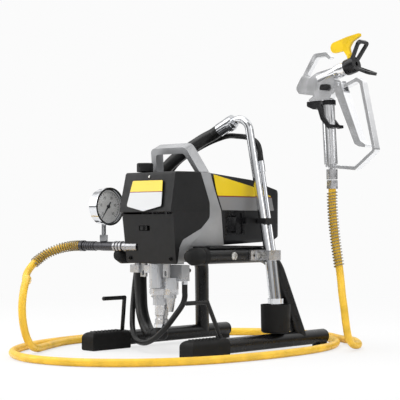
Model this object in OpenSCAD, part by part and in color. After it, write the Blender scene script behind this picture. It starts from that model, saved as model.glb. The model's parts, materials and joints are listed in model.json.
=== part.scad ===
// Airless paint sprayer on a tubular skid, with its suction set, pressure hose and spray gun.
// Origin on the floor, midway between the rails and midway along them. The front cover faces -Y.

/* [Skid frame] */
// Distance between the floor rails, centre to centre
rail_gap = 245; // [243:0.5:248]
// Outer diameter of the frame tube
tube_d = 26.9; // [26.5:0.1:27.2]
// Wall of the frame tube
tube_wall = 2.6; // [2:0.1:3.2]
// Half the overall length of the floor rails
rail_half = 189; // [186:1:192]
// Height of the rail axis above the floor
rail_z = 18; // [18:0.1:18.5]
// Length of a front boot
boot_l = 93; // [88:1:96]
// Width of a front boot
boot_w = 31.2; // [31:0.2:33]
// Height of a front boot without its ribs
boot_h = 33.4; // [33:0.2:34]
// Distance between the upper tubes, centre to centre
upper_gap = 176; // [175.5:0.1:177]
// Height of the upper tube axis
upper_z = 172; // [171.8:0.1:172.2]
// Front end of the upper tubes
upper_front = -134; // [-135:1:-132]
// Where the rear bend of the upper tubes starts
bend_start = 40; // [38:1:42]
// Centre-line radius of the rear bend
bend_r = 45; // [40:1:50]
// Diameter of the bent rod of the storage hooks
hook_d = 7.5; // [6:0.5:8]

/* [Drive head] */
// Width of the gear housing and the motor shroud
head_w = 124; // [123:0.5:125]
// Greatest width of the front cover
cover_w = 128; // [127:0.5:129]
// Wall of the front cover
cover_wall = 3; // [2.5:0.1:3.2]
// Wall of the motor shroud
shroud_wall = 2.5; // [2:0.1:3]
// Height of the motor and crank axis
drive_z = 248; // [247:0.5:249]
// Outer diameter of the motor can
motor_d = 84; // [80:1:85]
// Crank throw, half the piston stroke
throw = 9; // [8:0.5:9]
// Diameter of the pressure knob
knob_d = 29.6; // [26:0.2:30]

/* [Pump] */
// Pump axis, measured from the origin to the rear
pump_y = -123; // [-123.5:0.5:-122.5]
// Diameter of the piston rod
rod_d = 14; // [12:0.5:14]
// Bore of the pump cylinder
cylinder_bore = 20; // [18:0.5:20]

/* [Suction set] */
// Outer diameter of the chrome suction tube
suction_d = 15; // [14:0.2:15]
// Outer diameter of the chrome return tube
return_d = 8; // [7:0.2:8]
// Outer diameter of the suction hose
suction_hose_d = 23; // [20:0.5:23]
// Outer diameter of the return hose
return_hose_d = 10; // [9:0.5:10]
// Outer diameter of the drip cup
cup_d = 54; // [52:0.5:55]

/* [Outlet and hose] */
// Diameter of the gauge bezel
gauge_d = 69; // [66:0.5:70]
// Outer diameter of the pressure hose
hose_d = 13.6; // [13:0.1:14]
// Wire of the two spring guards
spring_wire = 2; // [1.6:0.1:2.2]
// Mean diameter of the spring guards' curls
spring_d = 17.6; // [17:0.1:18]
// Distance between curls
spring_pitch = 5.4; // [5:0.1:6]

/* [Spray gun] */
// Diameter of the gun's handle tube
grip_d = 24; // [22:0.5:24]
// Upward tilt of the gun's barrel, degrees
barrel_tilt = 14; // [12:1:15]
// Width of the trigger guard strap
guard_w = 15; // [12:1:16]

/* [Hidden] */
$fn = 48;
// Gap between pieces of different bodies, and overlap cut through faces
gap = 0.3;
cut = 0.5;
fit = 0.05;
tube_r = tube_d / 2;
rail_x = rail_gap / 2;
upper_x = upper_gap / 2;
half_w = head_w / 2;

// Outline helpers -------------------------------------------------------------------------------
function unit(v) = v / norm(v);
function turned(v, a) = [v.x * cos(a) - v.y * sin(a), v.x * sin(a) + v.y * cos(a)];
// Points of an arc round centre c
function arc(c, r, a0, a1, n = 8) = [for (i = [0:n]) c + r * turned([1, 0], a0 + (a1 - a0) * i / n)];
// Arc that rounds corner q, between its neighbours p and s
function corner(p, q, s, r, n = 5) =
    let (u = unit(p - q), v = unit(s - q), half = acos(u * v) / 2, t = r / tan(half))
    let (c = q + unit(u + v) * r / sin(half), a = unit(q + u * t - c), b = unit(q + v * t - c))
    let (swing = 180 - 2 * half)
    r == 0 ? [q] : [for (i = [0:n]) c + r * (sin(swing * (1 - i / n)) * a + sin(swing * i / n) * b) / sin(swing)];
// Outline with every corner rounded, r one radius or a list of one for each corner
function rounded(pts, r, n = 5) = let (len = len(pts))
    [for (i = [0:len - 1]) each corner(pts[(i + len - 1) % len], pts[i], pts[(i + 1) % len],
        is_list(r) ? r[i] : r, n)];
// Anticlockwise outline moved inwards by d
function inset(pts, d) = let (len = len(pts)) [for (i = [0:len - 1])
    let (u = unit(pts[i] - pts[(i + len - 1) % len]), v = unit(pts[(i + 1) % len] - pts[i]))
    let (a = [-u.y, u.x], b = [-v.y, v.x]) pts[i] + d * (a + b) / (1 + a * b)];
function box_outline(w, h) = [[-w / 2, -h / 2], [w / 2, -h / 2], [w / 2, h / 2], [-w / 2, h / 2]];

// Outline of points (y, z) carried along X over width w, centred on x
module side_extrude(pts, w, x = 0) {
    translate([x - w / 2, 0, 0]) rotate([90, 0, 90]) linear_extrude(w) polygon(pts);
}
// Outline of points (x, z) carried along Y from y0 to y1
module front_extrude(pts, y0, y1) {
    translate([0, y1, 0]) rotate([90, 0, 0]) linear_extrude(y1 - y0) polygon(pts);
}
// Cylinder from point a to point b
module rod(a, b, r1, r2 = undef) {
    d = b - a;
    translate(a) rotate([0, acos(d.z / norm(d)), atan2(d.y, d.x)])
        cylinder(h = norm(d), r1 = r1, r2 = is_undef(r2) ? r1 : r2);
}
// Straight piece of tube from point a to point b
module pipe(a, b, r, bore) {
    d = unit(b - a);
    difference() {
        rod(a, b, r);
        rod(a - d * cut, b + d * cut, bore);
    }
}
// Bend of a tube round the Z axis from 0 to angle, a hair thinner than the straights it runs into
module elbow(bend, angle, r, bore) {
    lap = 36 / bend;
    rotate([0, 0, -lap]) rotate_extrude(angle = angle + 2 * lap) translate([bend, 0]) difference() {
        circle(r - fit);
        circle(bore + fit);
    }
}
// Tube bent in the XZ plane through points (x, z), with a bend radius at each inner point
module bent(pts, bends, r, bore) {
    last = len(pts) - 1;
    dirs = [for (i = [0:last - 1]) unit(pts[i + 1] - pts[i])];
    turn = [for (i = [1:last - 1])
        let (u = dirs[i - 1], v = dirs[i]) atan2(u.x * v.y - u.y * v.x, u * v)];
    trim = [0, for (i = [0:last - 2]) bends[i] * tan(abs(turn[i]) / 2), 0];
    rotate([90, 0, 0]) {
        for (i = [0:last - 1])
            let (a = pts[i] + dirs[i] * trim[i], b = pts[i + 1] - dirs[i] * trim[i + 1])
                pipe([a.x, a.y, 0], [b.x, b.y, 0], r, bore);
        for (i = [1:last - 1])
            let (s = sign(turn[i - 1]), n = [-dirs[i - 1].y, dirs[i - 1].x] * s, bend = bends[i - 1])
            let (start = pts[i] - dirs[i - 1] * trim[i], c = start + n * bend)
            let (a0 = atan2(-n.y, -n.x) + min(turn[i - 1], 0))
                translate([c.x, c.y, 0]) rotate([0, 0, a0])
                    elbow(bend, abs(turn[i - 1]), r, bore);
    }
}

// Hose and spring helpers -----------------------------------------------------------------------
// Smooth curve through route points, n steps between each pair
function smooth(p, n) = let (m = len(p) - 1)
    [for (i = [0:m - 1], k = [0:n - 1]) let (t = k / n, a = p[max(i - 1, 0)], b = p[i], c = p[i + 1])
        let (d = p[min(i + 2, m)])
        (2 * b + (c - a) * t + (2 * a - 5 * b + 4 * c - d) * t ^ 2 + (3 * b - a - 3 * c + d) * t ^ 3) / 2,
    p[m]];
function tangents(p) = let (m = len(p) - 1) [for (i = [0:m]) unit(p[min(i + 1, m)] - p[max(i - 1, 0)])];
// Side directions carried along the curve without twist
function sides_of(t, i, u) = i == len(t) ? []
    : let (w = unit(u - (u * t[i]) * t[i])) concat([w], sides_of(t, i + 1, w));
function tube_points(p, r, sides, start) = let (t = tangents(p), u = sides_of(t, 0, start))
    [for (i = [0:len(p) - 1], k = [0:sides - 1]) let (a = 360 * k / sides)
        p[i] + r * (cos(a) * u[i] + sin(a) * cross(t[i], u[i]))];
// Closed tube of radius r along points p, in triangles
module tube(p, r, sides, start = [0, 0, 1]) {
    n = len(p);
    wall = [for (i = [0:n - 2], k = [0:sides - 1]) let (a = i * sides + k, b = i * sides + (k + 1) % sides)
        each [[a, a + sides, b], [b, a + sides, b + sides]]];
    ends = [for (k = [1:sides - 2]) each [[0, k, k + 1],
        [(n - 1) * sides, (n - 1) * sides + k + 1, (n - 1) * sides + k]]];
    polyhedron(points = tube_points(p, r, sides, start), faces = concat(wall, ends));
}

// Skid frame ------------------------------------------------------------------------------------
boot_front = -rail_half;
boot_ribs = 8;
rib_pitch = 8.6;
rib_r = 2.2;
foot_h = 5;

module boot(side) {
    side_view = rounded([[boot_front, 0], [boot_front + boot_l, 0], [boot_front + boot_l, boot_h],
        [boot_front, boot_h]], [4, 0.5, 3, 11]);
    front_view = rounded([[-boot_w / 2, 0], [boot_w / 2, 0], [boot_w / 2, boot_h], [-boot_w / 2, boot_h]],
        [3, 3, 11, 11]);
    translate([side * rail_x, 0, 0]) difference() {
        union() {
            intersection() {
                side_extrude(side_view, boot_w);
                front_extrude(front_view, boot_front - 1, boot_front + boot_l + 1);
            }
            for (i = [0:boot_ribs - 1])
                translate([-8, boot_front + 15 + i * rib_pitch, boot_h - rib_r + 1.2]) rotate([0, 90, 0])
                    cylinder(h = 16, r = rib_r);
        }
        rod([0, boot_front + 16, rail_z], [0, boot_front + boot_l + 1, rail_z], tube_r + fit);
    }
}

module boots() { color("#262626") for (side = [-1, 1]) boot(side); }

module rail(side) {
    rail_front = boot_front + 17;
    color("#1c1c1c") translate([side * rail_x, 0, rail_z]) difference() {
        rod([0, rail_front, 0], [0, rail_half - 6, 0], tube_r);
        rod([0, rail_front - cut, 0], [0, rail_half, 0], tube_r - tube_wall);
    }
}
module rail_left() { rail(-1); }
module rail_right() { rail(1); }

// The upper tube, its bend and the slanted leg are one tube; the leg is coped to sit on the rail
tube_lean = atan((rail_x - upper_x) / (upper_z - rail_z));
tube_drop = (upper_z - rail_z) / cos(tube_lean);
bend_turn = 76;
leg_l = (tube_drop - bend_r * (1 - cos(bend_turn))) / sin(bend_turn);

module side_tube_run() {
    bore = tube_r - tube_wall;
    leg_top = [0, bend_start + bend_r * sin(bend_turn), -bend_r * (1 - cos(bend_turn))];
    pipe([0, upper_front, 0], [0, bend_start, 0], tube_r, bore);
    translate([0, bend_start, -bend_r]) rotate([0, -90, 0]) elbow(bend_r, bend_turn, tube_r, bore);
    pipe(leg_top, leg_top + leg_l * [0, cos(bend_turn), -sin(bend_turn)], tube_r, bore);
}
module side_tube(side) {
    color("#1c1c1c") difference() {
        translate([side * upper_x, 0, upper_z]) rotate([0, -side * tube_lean, 0]) side_tube_run();
        rod([side * rail_x, 0, rail_z], [side * rail_x, rail_half, rail_z], tube_r + 0.02);
        for (y = bolt_ys) rod([side * (upper_x - 20), y, upper_z], [side * (upper_x + 20), y, upper_z], bolt_r + 0.3);
    }
}
module side_tube_left() { side_tube(-1); }
module side_tube_right() { side_tube(1); }

// Cap over the front of an upper tube; the left one is notched where the outlet passes over it
module upper_cap(side) {
    sleeve_r = tube_r + 1.7;
    sleeve_l = 28;
    difference() {
        translate([side * upper_x, 0, upper_z]) rotate([90, 0, 0])
            translate([0, 0, -upper_front - sleeve_l]) rotate_extrude() polygon([[0, 0], [sleeve_r, 0], [sleeve_r, 10],
                [sleeve_r - 0.5, 10.5], [sleeve_r - 0.5, 11.5], [sleeve_r, 12], [sleeve_r, 31], [9, 43], [0, 44]]);
        translate([side * upper_x, 0, upper_z]) rotate([90, 0, 0])
            translate([0, 0, -upper_front - sleeve_l - 1]) cylinder(h = sleeve_l + 1, r = tube_r + fit);
        rod(outlet_at - [70, 0, 0], outlet_at, 9.9);
    }
}
module rail_cap(side) {
    translate([side * rail_x, 0, 0]) difference() {
        union() {
            translate([0, rail_half - 6, rail_z]) rotate([-90, 0, 0])
                rotate_extrude() polygon([[0, -10], [tube_r - tube_wall - fit, -10], [tube_r - tube_wall - fit, 0],
                    [tube_r, 0], each arc([tube_r - 5, 1], 5, 0, 90), [0, 6]]);
            translate([-9, rail_half - 26, 0]) cube([18, 22, foot_h + 4]);
        }
        rod([0, rail_half - 30, rail_z], [0, rail_half - 6, rail_z], tube_r + 0.02);
    }
}
module end_caps() {
    color("#202020") for (side = [-1, 1]) {
        upper_cap(side);
        rail_cap(side);
    }
}

hook_foot = [rail_x, -103, boot_h];
hook_bend = [103, -116, 94];
hook_reach = 52;
module hook(side) {
    foot = [side * hook_foot.x, hook_foot.y, hook_foot.z - 1];
    bend = [side * hook_bend.x, hook_bend.y, hook_bend.z];
    tip = bend - [0, hook_reach, 0];
    rod(foot, bend, hook_d / 2);
    translate(bend) sphere(hook_d / 2 + 0.2);
    rod(bend, tip, hook_d / 2);
    rod(tip, tip - [0, 1.6, 0], hook_d / 2, hook_d / 2 - 1.4);
}
module hooks() {
    color("#1c1c1c") difference() {
        for (side = [-1, 1]) hook(side);
        translate([-200, -200, 0]) cube([400, 400, boot_h + 0.02]);
    }
}

bolt_ys = [-45, 18];
bolt_r = 4;
plate_z = upper_z + tube_r;
plate_t = 3;
flange_x = upper_x - tube_r;

module mount_plate() {
    color("#1c1c1c") difference() {
        union() {
            translate([-upper_x - 8, -102, plate_z]) cube([2 * upper_x + 16, 150, plate_t]);
            for (side = [-1, 1]) translate([side * (flange_x - 1.5) - 1.5, -70, upper_z - 10])
                cube([3, 105, plate_z - upper_z + 11]);
        }
        for (side = [-1, 1], y = bolt_ys)
            rod([side * (flange_x - 10), y, upper_z], [side * (flange_x + 4), y, upper_z], bolt_r + 0.3);
        translate([-40, -103, plate_z - 1]) cube([80, 12, plate_t + 2]);
    }
}

// Cross-head screw along +Z, its head standing on z = 0 and its shank below
module screw(head_r, head_h, shank_r, shank_l) {
    difference() {
        union() {
            cylinder(h = head_h * 0.5, r = head_r);
            translate([0, 0, head_h * 0.5]) cylinder(h = head_h * 0.5, r1 = head_r, r2 = head_r * 0.7);
            translate([0, 0, -shank_l]) cylinder(h = shank_l, r = shank_r);
        }
        for (a = [0, 90]) rotate([0, 0, a]) translate([-head_r * 0.5, -0.6, head_h * 0.6])
            cube([head_r, 1.2, head_h]);
    }
}
module screws() {
    color("#b5b5b5") {
        for (side = [-1, 1], y = bolt_ys) {
            translate([side * (upper_x + tube_r), y, upper_z]) rotate([0, side * 90, 0])
                screw(7, 4, bolt_r, 2 * tube_r + 3);
            rod([side * (flange_x - 9), y, upper_z], [side * (flange_x - 3), y, upper_z], 7);
        }
        for (x = [-1, 1]) translate([x * 50, cover_low_y - 1.8, 168]) rotate([90, 0, 0]) screw(3.4, 2, 1.8, 10);
        translate(cover_screw) rotate([90 - label_tilt, 0, 0]) screw(2.4, 1.6, 1.6, 10);
    }
}

// Drive head ------------------------------------------------------------------------------------
cover_screw = [0, -153.7, 311];
cover_low_y = -150;
cover_top = 320.5;
// Side outline of the front cover as (y, z)
cover_side = [[-146, 159], [-142, 188], [-134, 201], [-88, 220.5], [-67, 239], [-66.5, 266], [-88, cover_top],
    [-151.3, cover_top - 1], [-166.4, 249.5], [-159, 247.5], [cover_low_y, 159]];
// Outline of the head seen from the front as (x, z)
head_front = rounded([[-61, 158.5], [61, 158.5], [64, 250], [61.5, 322], [-61.5, 322], [-64, 250]],
    [5, 5, 60, 5, 5, 60]);
cover_roundings = [0.5, 6, 10, 14, 12, 10, 4, 5, 0.6, 0.6, 3];
cover_outline = rounded(cover_side, cover_roundings);
outlet_at = [-66, -146, 188];
knob_at = [-34, -131, cover_top];

module cover_body(shift_y, shift_z, narrow) {
    intersection() {
        translate([0, shift_y, shift_z]) side_extrude(cover_outline, cover_w + 2);
        front_extrude(narrow == 0 ? head_front : [for (q = head_front) [q.x * (1 - narrow / half_w), q.y + shift_z]],
            -190, -40);
    }
}
module front_cover() {
    slot = [-10, -163, 221];
    color("#2b2b2b") difference() {
        union() {
            difference() {
                cover_body(0, 0, 0);
                cover_body(cover_wall + 0.4, -cover_wall, cover_wall + 0.8);
            }
            // lip round the service panel
            intersection() {
                cover_body(0, 0, 0);
                translate([-57, -170, 162]) cube([3, 16, 84]);
            }
        }
        rod(outlet_at - [10, 0, 0], outlet_at + [36, 0, 0], 9.4);
        translate([knob_at.x, knob_at.y, cover_top - 10]) cylinder(h = 12, r = 5);
        for (x = [-1, 1]) translate([x * 50, cover_low_y - 4, 168]) rotate([-90, 0, 0]) cylinder(h = 20, r = 2.2);
        translate(cover_screw) rotate([90 - label_tilt, 0, 0]) translate([0, 0, -12]) cylinder(h = 14, r = 1.9);
        translate([slot.x - latch_w / 2 - 5, slot.y, slot.z - latch_h / 2 - 1]) cube([latch_w + 10, 14, latch_h + 2]);
    }
}

latch_w = 17;
latch_h = 7;
latch_travel = 6;
module panel_latch() {
    color("#1e1e1e") translate([-10 - latch_w / 2 - 2, -156.6, 221 - latch_h / 2]) {
        cube([latch_w, 7, latch_h]);
        translate([latch_w / 2 - 1.5, -2.2, 0.5]) cube([3, 3, latch_h - 1]);
    }
}

// Shield plate on the cover's upper panel and the two plates on the shroud's sides
label_tilt = atan(15.1 / 70);
module front_shield() {
    plate = rounded([[-43, -3], [0, -12], [43, -3], [37, 43], [-37, 43]], [4, 14, 4, 3, 3]);
    translate([0, -165.6, 262]) rotate([90 - label_tilt, 0, 0]) translate([0, 0, 0.9]) linear_extrude(1) polygon(plate);
}
side_label = rounded([[-32.5, 253], [112, 253], [104, 279], [88, 285], [50, 297], [-56, 316.5], [-48, 287],
    [-34, 256]], [1, 2, 6, 6, 10, 1, 6, 1]);
module label_plates() {
    color("#f2d11f") {
        front_shield();
        for (side = [-1, 1]) side_extrude(side_label, 0.9, side * (half_w + 0.75));
    }
}

// Cast gear housing: a silver band behind the cover, a narrower core inside it and the pump mount below
housing_side = [[-143, 158], [-129, 157], [-124, 181], [-112, 190], [-26, 190], [-35, 252], [-50, 287], [-61, 320],
    [-86, 320.4], [-150, 300]];
core_side = [[-118, 162], [-66, 192], [-60, 312], [-118, 316]];
shaft_y0 = -42;
lug_x = 28;
module housing_blank() {
    difference() {
        intersection() {
            side_extrude(rounded(housing_side, [0.5, 5, 6, 6, 2, 8, 8, 3, 2, 1]), cover_w);
            front_extrude([for (q = head_front) [q.x * 0.975, q.y]], -190, 0);
        }
        side_extrude(inset(cover_side, -0.35), cover_w + 10);
    }
    side_extrude(core_side, 113);
    // pump mount with its two lugs
    translate([-44, -136, 158]) cube([88, 24, 22]);
    for (x = [-lug_x, lug_x]) difference() {
        translate([x - 6.5, -142, 135]) cube([13, 5, 26]);
        for (dz = [-2, 2]) translate([x, -146, 142 + dz]) rotate([-90, 0, 0]) cylinder(h = 12, r = 2.6);
        translate([x - 2.6, -146, 140]) cube([5.2, 12, 4]);
    }
}
module gear_housing() {
    color("#a9abad") difference() {
        housing_blank();
        translate([-48, -119, 204]) cube([96, 119 + shaft_y0, 92]);
        rod([0, -60, drive_z], [0, -20, drive_z], 11);
        rod([0, shaft_y0 - 1, drive_z], [0, shaft_y0 + 7, drive_z], 13.02);
        rod([counter_x, shaft_y0 - 1, drive_z], [counter_x, shaft_y0 + 5, drive_z], 8.02);
        translate([0, pump_y, 150]) cylinder(h = 60, r = 16);
        rod(outlet_at - [10, 0, 0], outlet_at + [36, 0, 0], 9.4);
        translate([-58.5, -150, 156]) cube([25, 21.5, 50]);
        for (x = [-1, 1]) rod([x * 50, -160, 168], [x * 50, -125, 168], 1.85);
        translate([knob_at.x - 14, knob_at.y - 14, 290]) cube([28, 28, 40]);
        // room for the yoke in front of the core
        translate([-20, -140, 180.5]) cube([40, 23, 90]);
        // the core stands on the mount plate
        translate([-100, -102.3, 150]) cube([200, 110, plate_z + plate_t - 150]);
    }
}

handle_lean = 25;
handle_depth = 20;
module carry_handle() {
    outer = rounded([[-61, -8], [61, -8], [61, 2], [43, 57], [-43, 57], [-61, 2]], [0.5, 0.5, 14, 13, 13, 14]);
    inner = rounded([[-50, -9], [50, -9], [50, 3], [34.5, 45], [-34.5, 45], [-50, 3]], [0.5, 0.5, 12, 8, 8, 12]);
    color("#a9abad") difference() {
        translate([0, -75, 316]) rotate([handle_lean, 0, 0])
            front_extrude(outer, -handle_depth / 2, handle_depth / 2);
        translate([0, -75, 316]) rotate([handle_lean, 0, 0])
            front_extrude(inner, -handle_depth, handle_depth);
        translate([-70, -120, 290]) cube([140, 80, 30.52]);
        side_extrude(inset(cover_side, -0.3), cover_w + 10);
    }
}

module pressure_knob() {
    color("#242424") translate(knob_at + [0, 0, gap]) difference() {
        union() {
            rotate_extrude() polygon([[0, 0], [knob_d / 2 - 1, 0], [knob_d / 2, 1], [knob_d / 2, 14.5],
                [knob_d / 2 - 1.5, 16], [0, 16]]);
            translate([0, 0, -9]) cylinder(h = 10, r = 3);
        }
        translate([-0.8, -knob_d / 2 - 1, 8]) cube([1.6, 5, 9]);
    }
}

shroud_side = [[-25, 190.5], [106, 196], [131, 207], [134, 232], [131, 266], [127, 290.5], [84, 300.5], [51, 309],
    [-60.5, 319.5], [-49, 287], [-34, 252]];
shroud_round = [2, 10, 12, 20, 14, 10, 20, 20, 2, 8, 8];
module shroud_form(pts, w, end_y, r) {
    intersection() {
        side_extrude(pts, w);
        translate([0, 0, 180]) linear_extrude(150)
            polygon(rounded([[-w / 2, -70], [w / 2, -70], [w / 2, end_y], [-w / 2, end_y]], [1, 1, r, r]));
        front_extrude(rounded([[-w / 2, 190 + (head_w - w) / 2], [w / 2, 190 + (head_w - w) / 2], [w / 2, 330],
            [-w / 2, 330]], [10, 10, 30, 30]), -80, 150);
    }
}
vent_n = 7;
module motor_shroud() {
    outer = rounded(shroud_side, shroud_round);
    inner = inset(shroud_side, shroud_wall);
    color("#3a3b3c") difference() {
        shroud_form(outer, head_w, 134.5, 16);
        difference() {
            shroud_form([for (q = inner) [q.x < 20 ? q.x - 3.5 : q.x, q.y]], head_w - 2 * shroud_wall, 132, 13);
            translate([half_w - 14, -28, 203]) cube([20, 58, 54]);
        }
        // pocket of the switch
        translate([half_w - 9, -24, 208]) cube([12, 52, 44]);
        translate([half_w - 22, -17, 212]) cube([20, 26, 32]);
        // vent slots in the rear end and along the upper shoulder
        for (i = [0:vent_n - 1]) translate([-36 + i * 12 - 2, 124, 228]) cube([4, 20, 40]);
        for (side = [-1, 1], i = [0:vent_n - 1])
            translate([side * (half_w - 14) - 5, -2 + i * 11, 290]) cube([10, 5, 30]);
        // mains inlet
        rod([30, 120, 214], [30, 140, 214], 6);
        // clip screw
        rod([half_w - 5, 57, 234], [half_w + 2, 57, 234], 2.1);
    }
}

rocker_at = [half_w - 5, -4, 228];
module switch_bezel() {
    color("#1a1a1a") difference() {
        union() {
            translate([half_w - 8.9, -23.9, 208.1]) cube([8.4, 51.8, 43.8]);
            translate([half_w - 19.2, -16.5, 212.5]) cube([10.7, 25, 31]);
        }
        side_extrude(rounded([[-20, 211], [25, 211], [22, 249], [-20, 249]], 4), 6, half_w + 0.1);
        translate([half_w - 8, -16.2, 212.8]) cube([12, 24.4, 30.4]);
        rod(rocker_at - [0, 13.6, 0], rocker_at + [0, 13.6, 0], rocker_pin_r + fit);
    }
}
rocker_pin_r = 1.2;
module rocker() {
    color("#151515") {
        translate(rocker_at) rotate([-90, -90, 0]) translate([0, 0, -11.7]) linear_extrude(23.4)
            polygon([[-13.6, -0.5], [-12.8, 3.6], [-6, 2.2], [6, 2.2], [12.8, 3.6], [13.6, -0.5], [5, -1.6], [-5, -1.6]]);
        rod(rocker_at - [0, 13.4, 0], rocker_at + [0, 13.4, 0], rocker_pin_r);
    }
}

// Motor and gear train --------------------------------------------------------------------------
shaft_r = 5;
counter_r = 4.5;
gear_module = 1.1;
motor_teeth = 12;
wheel_teeth = 34;
second_teeth = 14;
main_teeth = 32;
counter_x = gear_module * (motor_teeth + wheel_teeth) / 2;
crank_r = 8;
can_wall = 6;

// Outline of a gear wheel with narrow teeth, turned by a
function gear_outline(n, a = 0) = let (root = (n / 2 - 1.25) * gear_module, tip = (n / 2 + 0.9) * gear_module)
    [for (i = [0:n - 1], q = [[root, -0.31], [tip, -0.11], [tip, 0.11], [root, 0.31]])
        q[0] * turned([1, 0], a + 360 * (i + q[1]) / n)];
module wheel(n, y0, y1, a = 0) { front_extrude(gear_outline(n, a), y0, y1); }

module motor_can() {
    can_r = motor_d / 2;
    color("#8f9294") translate([0, 0, drive_z]) rotate([90, 0, 0]) rotate_extrude()
        polygon([[12, 16], [12, 20], [can_r, 20], [can_r, -95], [shaft_r + fit, -95], [shaft_r + fit, -91],
            [can_r - can_wall, -91], [can_r - can_wall, 16]]);
}
module armature() {
    color("#b06a3a") translate([0, 0, drive_z]) {
        rod([0, -58, 0], [0, 110, 0], shaft_r);
        wheel(motor_teeth, -58, -46);
        rod([0, -5, 0], [0, 70, 0], motor_d / 2 - can_wall - 2.5);
        rod([0, 73, 0], [0, 84, 0], 14);
        rod([0, 98, 0], [0, 100, 0], 38);
        rod([0, 98, 0], [0, 112, 0], 10);
        for (i = [0:8]) rotate([0, i * 40, 0]) translate([8, 99, -1]) cube([29, 12, 2]);
    }
}
module countershaft() {
    color("#9da1a4") translate([counter_x, 0, drive_z]) {
        rod([0, -99, 0], [0, -38, 0], counter_r);
        wheel(wheel_teeth, -57, -47, 180 / wheel_teeth);
        wheel(second_teeth, -82, -66);
    }
}
module crankshaft() {
    color("#9da1a4") translate([0, 0, drive_z]) {
        rod([0, -104, 0], [0, -63, 0], crank_r);
        wheel(main_teeth, -81, -67, 180 / main_teeth);
        rod([0, -109, 0], [0, -103, 0], 17);
        rod([throw, -115.5, 0], [throw, -108, 0], 5);
    }
}
module bearings() {
    color("#c4c7c9") {
        difference() {
            translate([-48, -101, 204]) cube([96, 8, 92]);
            rod([0, -102, drive_z], [0, -92, drive_z], crank_r + fit);
            rod([counter_x, -102, drive_z], [counter_x, -92, drive_z], counter_r + fit);
        }
        difference() {
            rod([0, -42.5, drive_z], [0, shaft_y0 + 7, drive_z], 13);
            rod([0, -44, drive_z], [0, -30, drive_z], shaft_r + fit);
        }
        difference() {
            rod([counter_x, -42.5, drive_z], [counter_x, shaft_y0 + 5, drive_z], 8);
            rod([counter_x, -44, drive_z], [counter_x, -30, drive_z], counter_r + fit);
        }
    }
}
board_x = -54;
module control_board() {
    color("#2f5d3a") {
        translate([board_x, -15, 205]) cube([2, 95, 80]);
        for (y = [-8, 72], z = [211, 279]) rod([shroud_wall - half_w, y, z], [board_x, y, z], 3);
        for (y = [8, 24]) rod([board_x + 2, y, 214], [board_x + 18, y, 214], 6);
        translate([board_x + 2, 48, 265]) cube([8, 26, 16]);
        translate([board_x + 2, -4, 262]) cube([7, 14, 14]);
    }
}

// Pump ------------------------------------------------------------------------------------------
bore_r = cylinder_bore / 2;
ring_z = 104;
filter_x = 24;
relief_at = [12, -92, 146];
return_at = [40, -106];
seat_z = 67.4;
pusher_z = 101;
// Arm of the manifold that carries the outlet pipe
arm_at = [-57, -146, 142];
arm_size = [69, 18, 14];

module manifold() {
    color("#b9bcbe") difference() {
        union() {
            translate([0, pump_y, ring_z]) cylinder(h = 54, r = 16);
            translate([1, pump_y - 14, 116]) cylinder(h = 42, r = 13);
            translate([filter_x, pump_y, 114]) cylinder(h = 20, r = 12.8);
            translate([8, -120, 128]) cube([38, 20, 28]);
            translate(arm_at) cube(arm_size);
            rod([relief_at.x, -112, relief_at.z], relief_at, 9);
            rod(relief_at - [0, 1, 0], relief_at + [0, 5.5, 0], 3);
            translate([0, pump_y, 98]) cylinder(h = 6, r = 17);
            translate([20, pump_y, 98]) cylinder(h = 6, r = 12);
            translate([0, pump_y, 85]) cylinder(h = 14, r = 15.5);
            translate([22, pump_y, 74]) cylinder(h = 24.5, r1 = 5, r2 = 9);
        }
        translate([0, pump_y, 84]) cylinder(h = 46, r = bore_r + fit);
        translate([0, pump_y, 129]) cylinder(h = 40, r = rod_d / 2 + fit);
        translate([0, pump_y, 134]) cylinder(h = 16, r = 11);
        rod([-20, pump_y, pusher_z], [-10.9, pump_y, pusher_z], 2 + fit);
        // room for the housing's left lug
        translate([-lug_x - 7, arm_at.y - 1, arm_at.z - 1]) cube([14, 10.4, arm_size.z + 2]);
    }
}
module pump_rings() {
    color("#d2d4d5") difference() {
        union() {
            translate([0, pump_y, ring_z]) cylinder(h = 10, r = 21);
            translate([0, pump_y, ring_z + 2]) cylinder(h = 6, r = 22);
            translate([filter_x, pump_y, ring_z]) cylinder(h = 10, r = 13, $fn = 6);
        }
        translate([0, pump_y, ring_z - 1]) cylinder(h = 12, r = 16.02);
    }
}
module inlet_valve() {
    color("#c9cbcc") difference() {
        translate([0, pump_y, 0]) rotate_extrude() polygon([[0, 52], [12, 52], [12, 60], [10.5, 61.5], [10.5, 66],
            [12, 67.5], [12, 85], [0, 85]]);
        translate([0, pump_y, 51]) cylinder(h = 20, r = 4);
        translate([0, pump_y, seat_z]) cylinder(h = 18, r = 7);
    }
}
module foot_ball() { color("#e0e0e0") translate([0, pump_y, 72]) sphere(6); }
module piston() {
    color("#cfd2d4") difference() {
        union() {
            translate([0, pump_y, 100]) cylinder(h = 18, r = bore_r);
            translate([0, pump_y, 117]) cylinder(h = 88, r = rod_d / 2);
            translate([-18.5, pump_y - 6, 196]) cube([37, 12, 70]);
        }
        translate([-15, pump_y - 7, drive_z - 8]) cube([30, 14, 16]);
    }
}
module packings() {
    color("#7d6a45") translate([0, pump_y, 134]) difference() {
        cylinder(h = 16, r = 11);
        translate([0, 0, -1]) cylinder(h = 18, r = rod_d / 2 + 0.06);
    }
}
module valve_pusher() {
    color("#8e9193") {
        rod([-22, pump_y, pusher_z], [-13.4, pump_y, pusher_z], 2);
        rod([-24.5, pump_y, pusher_z], [-20.5, pump_y, pusher_z], 2.7);
    }
}
module relief_lever() {
    color("#303030") translate(relief_at) difference() {
        union() {
            rod([0, 0.4, 0], [0, 8, 0], 8);
            rod([0, 3, 0], [22, 3, 0], 2.8);
            translate([22, 3, 0]) sphere(4);
        }
        rod([0, -1, 0], [0, 5.9, 0], 3 + fit);
    }
}
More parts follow.
